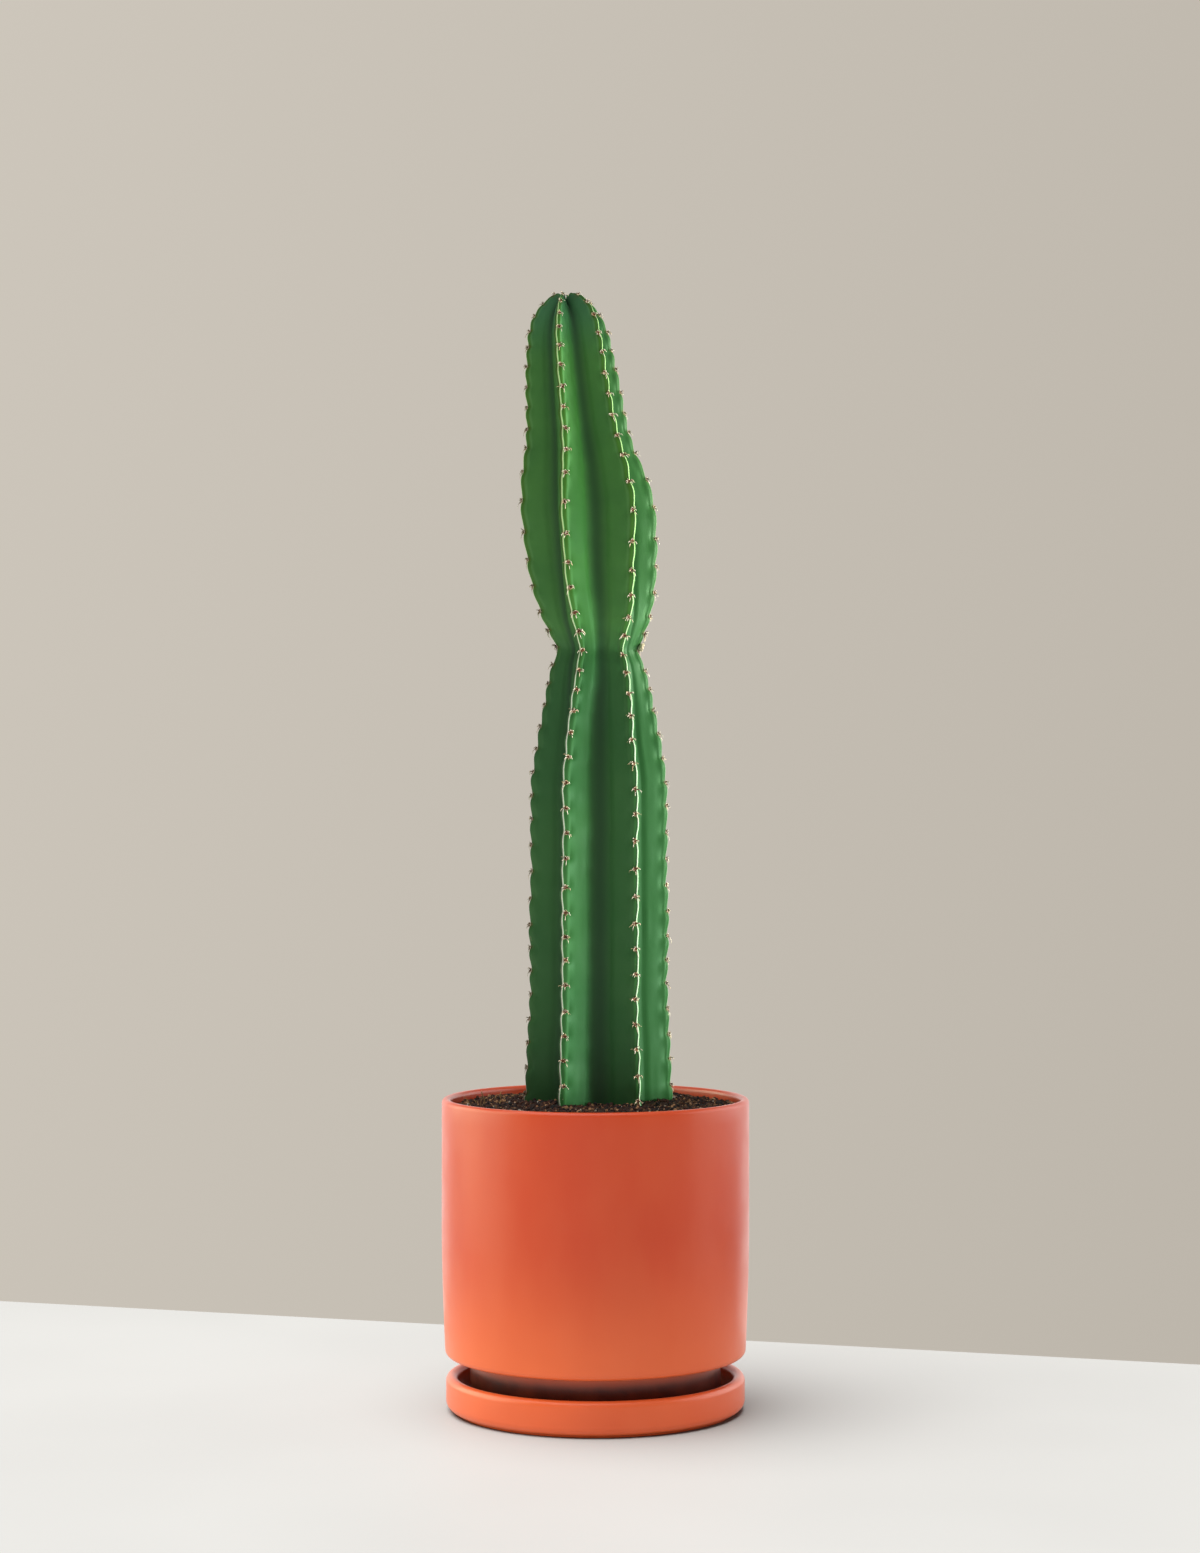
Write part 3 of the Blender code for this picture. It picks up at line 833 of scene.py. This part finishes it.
def build_soil(outline):
    """The soil's crumbly top from the stem to the pot's wall, closed by its sides and floor."""
    centre = outline[0]
    turn = np.linspace(-math.pi, math.pi, SOIL_COLUMNS, endpoint=False)
    direction = np.stack([np.cos(turn), np.sin(turn)], axis=-1)
    inner = centre + (outline_radius(outline, turn) + 0.15 * MM)[:, None] * direction
    outer = (SOIL_RADIUS - 0.1 * MM) * direction
    rows = []
    pocket_depth, side_drop = 12 * MM, 3 * MM
    for depth in (pocket_depth, 1.2 * MM):
        rows.append(np.column_stack([inner, soil_height(*inner.T) - depth]))
    for share in np.linspace(0.0, 1.0, SOIL_ROWS):
        flat = inner + share * (outer - inner)
        rows.append(np.column_stack([flat, soil_height(*flat.T)]))
    edge_z = SOIL_EDGE_TOP - side_drop
    rows.append(np.column_stack([outer, np.full(SOIL_COLUMNS, edge_z)]))
    for share, z in SOIL_SIDE:
        rows.append(np.column_stack([outer * share, np.full(SOIL_COLUMNS, z)]))
    points = np.concatenate(rows)
    faces = [face[::-1] for face in grid_faces(len(rows), SOIL_COLUMNS)]
    low, high = len(points), len(points) + 1
    points = np.vstack([
        points, (0, 0, SOIL_LOW.z), (*centre, SOIL_CENTRE_TOP - pocket_depth)
    ])
    last = (len(rows) - 1) * SOIL_COLUMNS
    for i in range(SOIL_COLUMNS):
        j = (i + 1) % SOIL_COLUMNS
        faces.append((low, last + j, last + i))
        faces.append((high, i, j))
    return mesh_object("soil_bed", points, faces)


def crumb_template(seed, detail):
    """A lumpy little stone of about unit radius, as points and faces."""
    random = np.random.default_rng(seed)
    golden = (1 + math.sqrt(5)) / 2
    pairs = [(a, b) for b in (golden, -golden) for a in (-1, 1)]
    points = [(a, b, 0) for a, b in pairs] + [(0, a, b) for a, b in pairs] + [(b, 0, a) for a, b in pairs]
    faces = [(0, 11, 5), (0, 5, 1), (0, 1, 7), (0, 7, 10), (0, 10, 11), (1, 5, 9), (5, 11, 4),
             (11, 10, 2), (10, 7, 6), (7, 1, 8), (3, 9, 4), (3, 4, 2), (3, 2, 6), (3, 6, 8),
             (3, 8, 9), (4, 9, 5), (2, 4, 11), (6, 2, 10), (8, 6, 7), (9, 8, 1)]
    points = [np.array(p, float) / math.hypot(1, golden) for p in points]
    for _ in range(detail):
        middles, finer = {}, []

        def middle(a, b):
            key = (min(a, b), max(a, b))
            if key not in middles:
                between = points[a] + points[b]
                middles[key] = len(points)
                points.append(between / np.linalg.norm(between))
            return middles[key]

        for a, b, c in faces:
            ab, bc, ca = middle(a, b), middle(b, c), middle(c, a)
            finer += [(a, ab, ca), (b, bc, ab), (c, ca, bc), (ab, bc, ca)]
        faces = finer
    lumpy = np.array([p * (1 + random.uniform(-0.22, 0.22)) for p in points])
    return lumpy * random.uniform(0.7, 1.15, 3), np.array(faces)


def turned_by(random, count):
    """Random rotation matrices."""
    quaternions = random.normal(size=(count, 4))
    quaternions /= np.linalg.norm(quaternions, axis=1)[:, None]
    w, x, y, z = quaternions.T
    return np.stack([
        np.stack([1 - 2 * (y * y + z * z), 2 * (x * y - z * w), 2 * (x * z + y * w)], axis=-1),
        np.stack([2 * (x * y + z * w), 1 - 2 * (x * x + z * z), 2 * (y * z - x * w)], axis=-1),
        np.stack([2 * (x * z - y * w), 2 * (y * z + x * w), 1 - 2 * (x * x + y * y)], axis=-1),
    ], axis=1)


def scatter(name, outline, count, sizes, seed, detail=0, squash=(1, 1, 1), sink=0.35, tone=(0, 1)):
    """Crumbs of a kind spread over the soil, clear of the stem and of the pot's wall."""
    random = np.random.default_rng(seed)
    centre = outline[0]
    spots = []
    while len(spots) < count:
        x, y = random.uniform(-SOIL_RADIUS, SOIL_RADIUS, 2)
        away = np.array([x, y]) - centre
        clear = outline_radius(outline, math.atan2(away[1], away[0]))
        if math.hypot(x, y) < SOIL_RADIUS - WALL_CLEARANCE and np.hypot(*away) > clear + STEM_CLEARANCE:
            spots.append((x, y))
    spots = np.array(spots)
    size = random.uniform(0.0, 1.0, count) ** 2.2 * (sizes[1] - sizes[0]) + sizes[0]
    turns = turned_by(random, count)
    kinds = [crumb_template(seed + 40 + k, detail) for k in range(6)]
    points, faces, tones = [], [], []
    total = 0
    ground = soil_height(*spots.T)
    for i in range(count):
        shape, shape_faces = kinds[i % len(kinds)]
        turned = (shape * np.array(squash)) @ turns[i].T * size[i] / 2
        place = (spots[i][0], spots[i][1], ground[i] + size[i] * (0.5 - sink) * min(squash))
        points.append(turned + place)
        faces.append(shape_faces + total)
        tones.append(np.full(len(shape), random.uniform(*tone)))
        total += len(shape)
    made = mesh_object(name, np.concatenate(points), np.concatenate(faces).tolist(), False)
    add_values(made, "tone", np.concatenate(tones))
    return made


def build_straws():
    """Two dry sprouts and some stubs that stand at the left, and loose fibres all over."""
    random = np.random.default_rng(SEED + 5)
    curves = []
    stands = list(SPROUTS)
    for _ in range(STUBS):
        x, y = random.uniform(-0.086, -0.060), random.uniform(-0.030, 0.030)
        stands.append((x, y, random.uniform(0.003, 0.007), random.uniform(0.22, 0.40)))
    for x, y, tall, thick in stands:
        z = float(soil_height(np.array([x]), np.array([y]))[0]) - 0.5 * MM
        lean_x, lean_y = random.uniform(-0.35, 0.35, 2)
        line = []
        for t in np.linspace(0, 1, 9):
            bend = t**1.7
            crook = 0.10 * tall * math.sin(5.0 * t)
            line.append((x + lean_x * tall * bend + crook, y + lean_y * tall * bend, z + tall * t))
        curves.append((line, thick * MM * np.linspace(1, 0.55, 9), random.random()))
    for _ in range(FIBRES):
        turn = random.uniform(0, 2 * math.pi)
        radius = random.uniform(0.056, 0.092)
        x, y = radius * math.cos(turn), radius * math.sin(turn)
        z = float(soil_height(np.array([x]), np.array([y]))[0]) + 0.3 * MM
        heading = random.uniform(0, 2 * math.pi)
        long = random.uniform(3, 9) * MM
        bow = random.uniform(-0.3, 0.3)
        line = []
        for t in np.linspace(0, 1, 6):
            ahead, off = long * (t - 0.5), bow * long * (t - t * t)
            line.append((
                x + ahead * math.cos(heading) - off * math.sin(heading),
                y + ahead * math.sin(heading) + off * math.cos(heading),
                z + random.uniform(0.0, 0.7) * MM,
            ))
        thick = random.uniform(0.15, 0.30) * MM
        curves.append((line, thick * np.linspace(1, 0.5, 6), random.random()))
    return tube_batch("soil_fibres", curves, 5)


def soil_material():
    n = Nodes("dark_soil")
    grain = n.noise(700, 4, 0.65)
    patch = n.span(n.noise(90, 3), 0.35, 0.65)
    pale = n.span(n.spots(620), 0.10, 0.04)
    color = n.layers(
        rgb(20, 11, 9),
        (n.span(grain, 0.35, 0.70), rgb(74, 46, 34)),
        (n.times(patch, 0.5), rgb(62, 34, 25)),
        (n.times(pale, 0.7), rgb(150, 126, 100)),
    )
    normal = n.bump(grain, 0.9, 0.0012)
    normal = n.bump(n.noise(2300, 3, 0.7), 0.6, 0.0004, normal)
    return n.finish(color, n.span(grain, 0.3, 0.7, 0.85, 0.98), normal)


def crumb_material():
    n = Nodes("soil_crumb")
    tone = n.attribute("tone")
    color = n.layers(
        rgb(16, 9, 8),
        (n.span(tone, 0.1, 0.75), rgb(82, 46, 30)),
        (n.span(tone, 0.82, 0.97), rgb(196, 146, 104)),
        (n.span(n.noise(1500, 3), 0.45, 0.65, 0.0, 0.5), rgb(34, 20, 16)),
    )
    normal = n.bump(n.noise(2600, 3, 0.7), 0.5, 0.0004)
    return n.finish(color, n.span(tone, 0.0, 1.0, 0.80, 0.96), normal)


def perlite_material():
    n = Nodes("perlite")
    foam = n.noise(2400, 3, 0.7)
    color = n.layers(
        rgb(178, 166, 148),
        (n.span(foam, 0.35, 0.6), rgb(222, 214, 198)),
        (n.span(n.attribute("tone"), 0.6, 1.0, 0.0, 0.7), rgb(168, 148, 124)),
    )
    normal = n.bump(foam, 0.8, 0.0005)
    return n.finish(color, n.span(foam, 0.3, 0.7, 0.80, 0.95), normal)


def bark_material():
    n = Nodes("bark_chip")
    fibre = n.noise(900, 3, 0.6, (1, 4, 1))
    color = n.layers(
        rgb(84, 50, 32),
        (n.span(n.attribute("tone"), 0.0, 1.0), rgb(176, 132, 90)),
        (n.span(fibre, 0.45, 0.65, 0.0, 0.6), rgb(52, 30, 22)),
    )
    normal = n.bump(fibre, 0.8, 0.0005)
    return n.finish(color, n.span(fibre, 0.3, 0.7, 0.75, 0.92), normal)


def straw_material():
    n = Nodes("dry_straw")
    tone = n.attribute("tone")
    color = n.layers(
        rgb(196, 158, 104),
        (tone, rgb(146, 104, 62)),
        (n.span(n.noise(900, 2), 0.5, 0.7, 0.0, 0.5), rgb(98, 64, 40)),
    )
    return n.finish(color, n.span(tone, 0.0, 1.0, 0.60, 0.80))


# ---- Pot and saucer ----
TURN_STEPS = 256
ARC_STEPS = 14
POT_WALL = 6 * MM
POT_TAPER_TOP = 0.120
POT_LOWER_RADIUS = 0.0995
POT_LOWER_EDGE = 0.0365
POT_EDGE_ROUNDING = 4 * MM
POT_SHOULDER_RISE = 1.5 * MM
POT_FOOT_RADIUS = 0.083
POT_FOOT_WALL = 7 * MM
POT_FOOT_RECESS = 3 * MM
POT_FLOOR = 10 * MM
POT_INNER_SHOULDER = 0.044
POT_INNER_SHOULDER_RISE = 9 * MM
DRAIN_RADIUS = 8 * MM
SAUCER_WALL = 8 * MM
SAUCER_BASE_RADIUS = 6 * MM
SAUCER_FLOOR_TOP = 6.7 * MM
SAUCER_FOOT_OUTER = 0.0930
SAUCER_FOOT_INNER = 0.0800
SAUCER_FOOT_HEIGHT = 1.2 * MM
SAUCER_FLOOR_FILLET = 3 * MM
LIP_BAND = 12 * MM  # how far below its top the pot's wall has no rings
SOFT_EDGE = 0.8 * MM  # glazed corners are never sharp


def arc(centre_x, centre_z, radius, start, end):
    """Points of an arc in the profile plane, with its angles in degrees from +X towards +Z."""
    angles = np.radians(np.linspace(start, end, ARC_STEPS + 1))
    return [(centre_x + radius * math.cos(a), centre_z + radius * math.sin(a)) for a in angles]


def softened(profile, radius):
    """The same outline with each of its corners cut by a small curve."""
    made = []
    for before, here, after in zip(profile, profile[1:], profile[2:]):
        here = np.array(here)
        back = np.array(before) - here
        on = np.array(after) - here
        reach = min(radius, 0.45 * np.linalg.norm(back), 0.45 * np.linalg.norm(on))
        start = here + back / np.linalg.norm(back) * reach
        end = here + on / np.linalg.norm(on) * reach
        for t in (0.0, 0.25, 0.5, 0.75, 1.0):
            made.append(tuple((1 - t) ** 2 * start + 2 * t * (1 - t) * here + t**2 * end))
    return [profile[0]] + made + [profile[-1]]


def turned(name, profile, closed):
    """Turns a profile of (radius, height) points about Z as a fine smooth mesh."""
    turn = np.linspace(0, 2 * math.pi, TURN_STEPS, endpoint=False)
    on_axis = [i for i, (x, _) in enumerate(profile) if x < 1e-6]
    rings = [p for p in profile if p[0] >= 1e-6]
    if closed:
        rings.append(rings[0])
    points = np.concatenate([
        np.column_stack([x * np.cos(turn), x * np.sin(turn), np.full(TURN_STEPS, z)])
        for x, z in (rings[:-1] if closed else rings)
    ])
    rows = len(rings)
    faces = grid_faces(rows, TURN_STEPS)
    if closed:
        count = len(points)
        faces = [tuple(v % count for v in face) for face in faces]
    faces = [tuple(face)[::-1] for face in faces]
    for i in on_axis:
        points = np.vstack([points, (0.0, 0.0, profile[i][1])])
        hub = len(points) - 1
        row = 0 if i == 0 else (rows - 1) * TURN_STEPS
        for k in range(TURN_STEPS):
            j = (k + 1) % TURN_STEPS
            faces.append((hub, row + k, row + j) if i == 0 else (hub, row + j, row + k))
    return mesh_object(name, points, faces)


def pot_outer_radius(height):
    drop = max(0.0, (POT_TAPER_TOP - height) / (POT_TAPER_TOP - POT_LOWER_EDGE))
    return POT_HIGH.x - (POT_HIGH.x - POT_LOWER_RADIUS) * drop**1.6


def build_pot():
    lip = POT_WALL / 2
    rim = arc(POT_HIGH.x - lip, POT_HIGH.z - lip, lip, 180, 0)
    taper_bottom = POT_LOWER_EDGE + POT_EDGE_ROUNDING
    heights = np.concatenate([
        np.linspace(POT_HIGH.z - LIP_BAND, POT_TAPER_TOP, 12, endpoint=False),
        np.linspace(POT_TAPER_TOP, taper_bottom, 16, endpoint=False),
    ])
    side = [(pot_outer_radius(z), z) for z in heights]
    corner_x = pot_outer_radius(taper_bottom) - POT_EDGE_ROUNDING
    corner = arc(corner_x, taper_bottom, POT_EDGE_ROUNDING, 0, -90)
    base = POT_LOW.z
    inner_foot = POT_FOOT_RADIUS - POT_FOOT_WALL
    foot = softened([
        corner[-1],
        (POT_FOOT_RADIUS, POT_LOWER_EDGE - POT_SHOULDER_RISE),
        (POT_FOOT_RADIUS, base),
        (inner_foot, base),
        (inner_foot, base + POT_FOOT_RECESS),
        (DRAIN_RADIUS, base + POT_FOOT_RECESS),
        (DRAIN_RADIUS, base + POT_FLOOR),
        (inner_foot, base + POT_FLOOR),
        (inner_foot, POT_INNER_SHOULDER),
        (POT_LOWER_RADIUS - POT_WALL, POT_INNER_SHOULDER + POT_INNER_SHOULDER_RISE),
        (POT_HIGH.x - POT_WALL, POT_TAPER_TOP),
        (POT_HIGH.x - POT_WALL, POT_HIGH.z - LIP_BAND),
    ], SOFT_EDGE)
    return turned("pot_glazed", rim[1:] + side + corner + foot[1:] + rim[:1], closed=True)


def build_saucer():
    radius = SAUCER_HIGH.x
    lip = SAUCER_WALL / 2
    rim = arc(radius - lip, SAUCER_HIGH.z - lip, lip, 180, 0)
    side = arc(
        radius - SAUCER_BASE_RADIUS, SAUCER_FOOT_HEIGHT + SAUCER_BASE_RADIUS, SAUCER_BASE_RADIUS, 0, -75
    )
    foot = softened([
        side[-1],
        (SAUCER_FOOT_OUTER, SAUCER_FOOT_HEIGHT),
        (SAUCER_FOOT_OUTER, 0.0),
        (SAUCER_FOOT_INNER, 0.0),
        (SAUCER_FOOT_INNER, SAUCER_FOOT_HEIGHT),
        (0.0, SAUCER_FOOT_HEIGHT),
    ], 0.5 * MM)
    inside = radius - SAUCER_WALL
    fillet = arc(
        inside - SAUCER_FLOOR_FILLET, SAUCER_FLOOR_TOP + SAUCER_FLOOR_FILLET, SAUCER_FLOOR_FILLET, -90, 0
    )
    profile = [(0.0, SAUCER_FLOOR_TOP)] + fillet + rim + side + foot[1:]
    return turned("saucer_glazed", profile, closed=False)


def glaze_material(name, bounce_lit_color, high_color, shade_zone):
    """A satin glaze, painted paler towards the foot as if lit from below by the pale table, with unevenly
    painted shade in the recess round the pot's foot.

    The last argument gives the radius inside which the painted shade shows, and its lowest and highest
    heights.
    """
    n = Nodes(name)
    deep, pale = rgb(188, 60, 14), rgb(228, 116, 70)
    cloud = n.span(n.noise(9, 3, 0.5), 0.30, 0.70)
    drift = n.span(n.noise(26, 3, 0.5, (1, 1, 0.4)), 0.35, 0.70)
    dust = n.times(n.span(n.spots(260), 0.07, 0.03), n.span(n.noise(45, 2), 0.50, 0.62))
    pits = n.times(n.span(n.spots(410), 0.06, 0.02), n.span(n.noise(33, 2), 0.50, 0.60))
    shade_radius, shade_bottom, shade_top = shade_zone
    # painted shade in the recess round the pot's foot and inside the saucer, made a little uneven by noise
    recess_shade = n.times(
        n.span(n.radius(), shade_radius, shade_radius - 0.8 * MM),
        n.span(n.height(), shade_top, shade_top - 12 * MM),
        n.span(n.height(), shade_bottom, shade_bottom + 1 * MM),
    )
    uneven_shade = n.span(n.noise(60, 3), 0.2, 0.8, 0.90, 1.0)
    color = n.layers(
        bounce_lit_color,
        # painted light: the glaze is paler low down, where the pale table lights it from below, and has its
        # own colour higher up
        (n.span(n.height(), 0.02, 0.13), high_color),
        (n.times(cloud, 0.25), deep),
        (n.times(drift, 0.12), pale),
        (n.times(dust, 0.55), pale),
        (n.times(pits, 0.6), deep),
        # painted shade in the recess round the foot
        (n.times(recess_shade, uneven_shade), rgb(50, 13, 11)),
    )
    normal = n.bump(n.noise(70, 2, 0.4), 0.12, 0.0006)
    normal = n.bump(n.noise(1800, 2, 0.5), 0.06, 0.0001, normal)
    normal = n.bump(n.math("SUBTRACT", dust, pits), 0.25, 0.0002, normal)
    rough = n.span(n.noise(40, 3), 0.3, 0.7, 0.29, 0.36)
    return n.finish(color, rough, normal)


# ---- Stage: floor, light, camera ----
CAMERA_PLACE = (0.003, -1.948, 0.397)
CAMERA_TILT = math.radians(90.655)
SENSOR = 36.0
FOCAL_LENGTH = 67.85
FILL_LIGHT = 0.32
WALL_DARKENS = (0.9, 0.0, -0.25)  # the wall's painted shade deepens in this direction
WALL_REACH = 0.28  # from even this far against it to this far along it


def build_floor():
    """A plain pale table top; its back edge runs behind the pot at a slight slant."""
    corners = [(-6, -6), (6, -6), (6, -1.50), (-6, 2.06)]
    floor = mesh_object("table_top", [(x, y, 0.0) for x, y in corners], [(0, 1, 2, 3)], False)
    n = Nodes("pale_table")
    color = n.mix(n.span(n.noise(3, 2), 0.3, 0.7), rgb(122, 122, 120), rgb(125, 125, 123))
    floor.data.materials.append(n.finish(color, 0.6))
    return floor


def softbox(name, bearing, distance, height, aim_height, size, radiance, color, spread):
    """A large soft lamp; bearing is in degrees from the front towards +X."""
    turn = math.radians(bearing)
    place = (distance * math.sin(turn), -distance * math.cos(turn), height)
    light = bpy.data.lights.new(name, "AREA")
    light.shape = "RECTANGLE"
    light.size, light.size_y = size
    light.energy = radiance * math.pi * size[0] * size[1]
    light.color = color
    light.spread = math.radians(spread)
    made = bpy.data.objects.new(name, light)
    made.location = place
    made.rotation_euler = (math.atan2(distance, height - aim_height), 0.0, turn)
    made.visible_camera = False
    bpy.context.scene.collection.objects.link(made)
    return made


def wide_sun(name, bearing, elevation, width, strength, color):
    """A very soft sun, so that the table is as bright far away as it is near the pot."""
    light = bpy.data.lights.new(name, "SUN")
    light.angle = math.radians(width)
    light.energy = strength
    light.color = color
    made = bpy.data.objects.new(name, light)
    made.rotation_euler = (math.radians(90 - elevation), 0.0, math.radians(bearing))
    bpy.context.scene.collection.objects.link(made)
    return made


def only_light(light, things):
    """Keeps a lamp's light for some of the pieces."""
    group = bpy.data.collections.new(light.name + "_receivers")
    for thing in things:
        group.objects.link(thing)
    light.light_linking.receiver_collection = group


def build_world():
    """An even fill light, and behind it a beige wall with painted shade darkening it a little to the right.
    """
    n = Nodes("studio", bpy.data.worlds)
    bpy.context.scene.world = n.owner
    fill = n.tree.nodes["Background"]
    n.fill(fill, {"Color": (1.0, 0.99, 0.96, 1.0), "Strength": FILL_LIGHT})
    direction = n.node("ShaderNodeTexCoord", {}).outputs["Generated"]
    slope = n.node("ShaderNodeVectorMath", {0: direction, 1: WALL_DARKENS}, operation="DOT_PRODUCT")
    reach = {"Value": slope.outputs["Value"], "From Min": -WALL_REACH, "From Max": WALL_REACH}
    share = n.node("ShaderNodeMapRange", reach).outputs["Result"]
    wall = n.mix(share, rgb(206, 199, 188), rgb(187, 180, 169))
    backdrop = n.node("ShaderNodeBackground", {"Color": wall}).outputs["Background"]
    seen = n.node("ShaderNodeLightPath", {}).outputs["Is Camera Ray"]
    both = n.node("ShaderNodeMixShader", {0: seen, 1: fill.outputs["Background"], 2: backdrop})
    n.fill(n.tree.nodes["World Output"], {"Surface": both.outputs["Shader"]})


def build_camera():
    camera = bpy.data.cameras.new("camera")
    camera.sensor_fit = "VERTICAL"
    camera.sensor_height = SENSOR
    camera.lens = FOCAL_LENGTH
    camera.clip_end = 50
    made = bpy.data.objects.new("camera", camera)
    made.location = CAMERA_PLACE
    made.rotation_euler = (CAMERA_TILT, 0.0, 0.0)
    bpy.context.scene.collection.objects.link(made)
    bpy.context.scene.camera = made


# ---- Everything together ----
def show(thing, material, node=None):
    thing.data.materials.append(material)
    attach(thing, "root")
    if node:
        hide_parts(node)
    return thing


build_world()
build_camera()
table = build_floor()
bpy.context.scene.view_settings.view_transform = "Standard"

stem, stem_points = build_stem()
show(stem, skin_material(), "cactus_stem")
spots = areole_places()
cushions = show(build_cushions(spots), cushion_material())
spines = show(build_spines(spots), spine_material())
wool = show(build_wool(spots), wool_material())

outline = stem_outline(stem_points)
soil = show(build_soil(outline), soil_material(), "potting_soil")
crumbs = scatter("soil_crumbs", outline, 5200, (0.7 * MM, 3.2 * MM), SEED + 60)
perlite = scatter("soil_perlite", outline, 110, (0.7 * MM, 2.0 * MM), SEED + 61, 1, sink=0.2)
chips = scatter("soil_bark", outline, 260, (1.5 * MM, 5.5 * MM), SEED + 62, 0, (1, 0.5, 0.25), 0.1)
show(crumbs, crumb_material())
show(perlite, perlite_material())
show(chips, bark_material())
fibres = show(build_straws(), straw_material())

top_color = rgb(200, 64, 20)
# the paler colours low on the pot and on the saucer are painted light from the table below; the tuples
# place the painted shade round the foot
pot_glaze = glaze_material("pot_glaze", rgb(236, 106, 52), top_color, (0.0840, 0.0070, 0.0385))
saucer_glaze = glaze_material("saucer_glaze", rgb(232, 98, 48), top_color, (0.0912, 0.0050, 0.0260))
pot = show(build_pot(), pot_glaze, "pot")
saucer = show(build_saucer(), saucer_glaze, "saucer")

crockery = [pot, saucer]
outgrowths = [cushions, spines, wool]
ground = [soil, crumbs, perlite, chips, fibres]
warm, white, cool, cream = (0.82, 1.0, 0.74), (1.0, 0.985, 0.975), (1.0, 0.98, 0.95), (1.0, 0.95, 0.84)
green, deep_green = (0.74, 1.0, 0.70), (0.60, 1.0, 0.68)
softboxes = (  # (name, bearing, distance, height, aim height, size, radiance, colour, spread, lit pieces)
    ("softbox_left", -100, 1.5, 0.65, 0.15, (2.0, 1.3), 3.5, warm, 180, crockery),
    ("softbox_right", 106, 1.5, 0.65, 0.15, (1.8, 1.3), 2.0, cool, 180, crockery),
    ("softbox_back", 180, 1.5, 0.10, 0.10, (3.2, 1.6), 1.0, cool, 180, crockery),
    ("softbox_front", -12, 1.9, 0.55, 0.05, (1.2, 0.9), 2.0, white, 180, crockery),
    ("softbox_overhead", -60, 0.55, 2.3, 0.0, (2.4, 2.4), 2.0, white, 180, crockery + ground),
    ("plant_key_low", 76, 1.1, 0.28, 0.28, (0.35, 0.45), 2.9, deep_green, 50, [stem]),
    ("plant_key_high", 102, 1.1, 0.69, 0.67, (0.35, 0.45), 4.1, green, 50, [stem]),
    ("areole_key", 70, 1.1, 0.50, 0.45, (0.35, 0.9), 3.4, cream, 50, outgrowths),
    ("plant_top", 60, 0.8, 1.9, 0.5, (1.0, 1.0), 0.5, white, 180, [stem] + outgrowths + ground),
)
for *settings, lit in softboxes:
    only_light(softbox(*settings), lit)
bpy.data.objects["softbox_front"].visible_glossy = False  # it would show as a band on the pot
only_light(wide_sun("table_sun", -68, 75, 66, 12.2, white), [table])
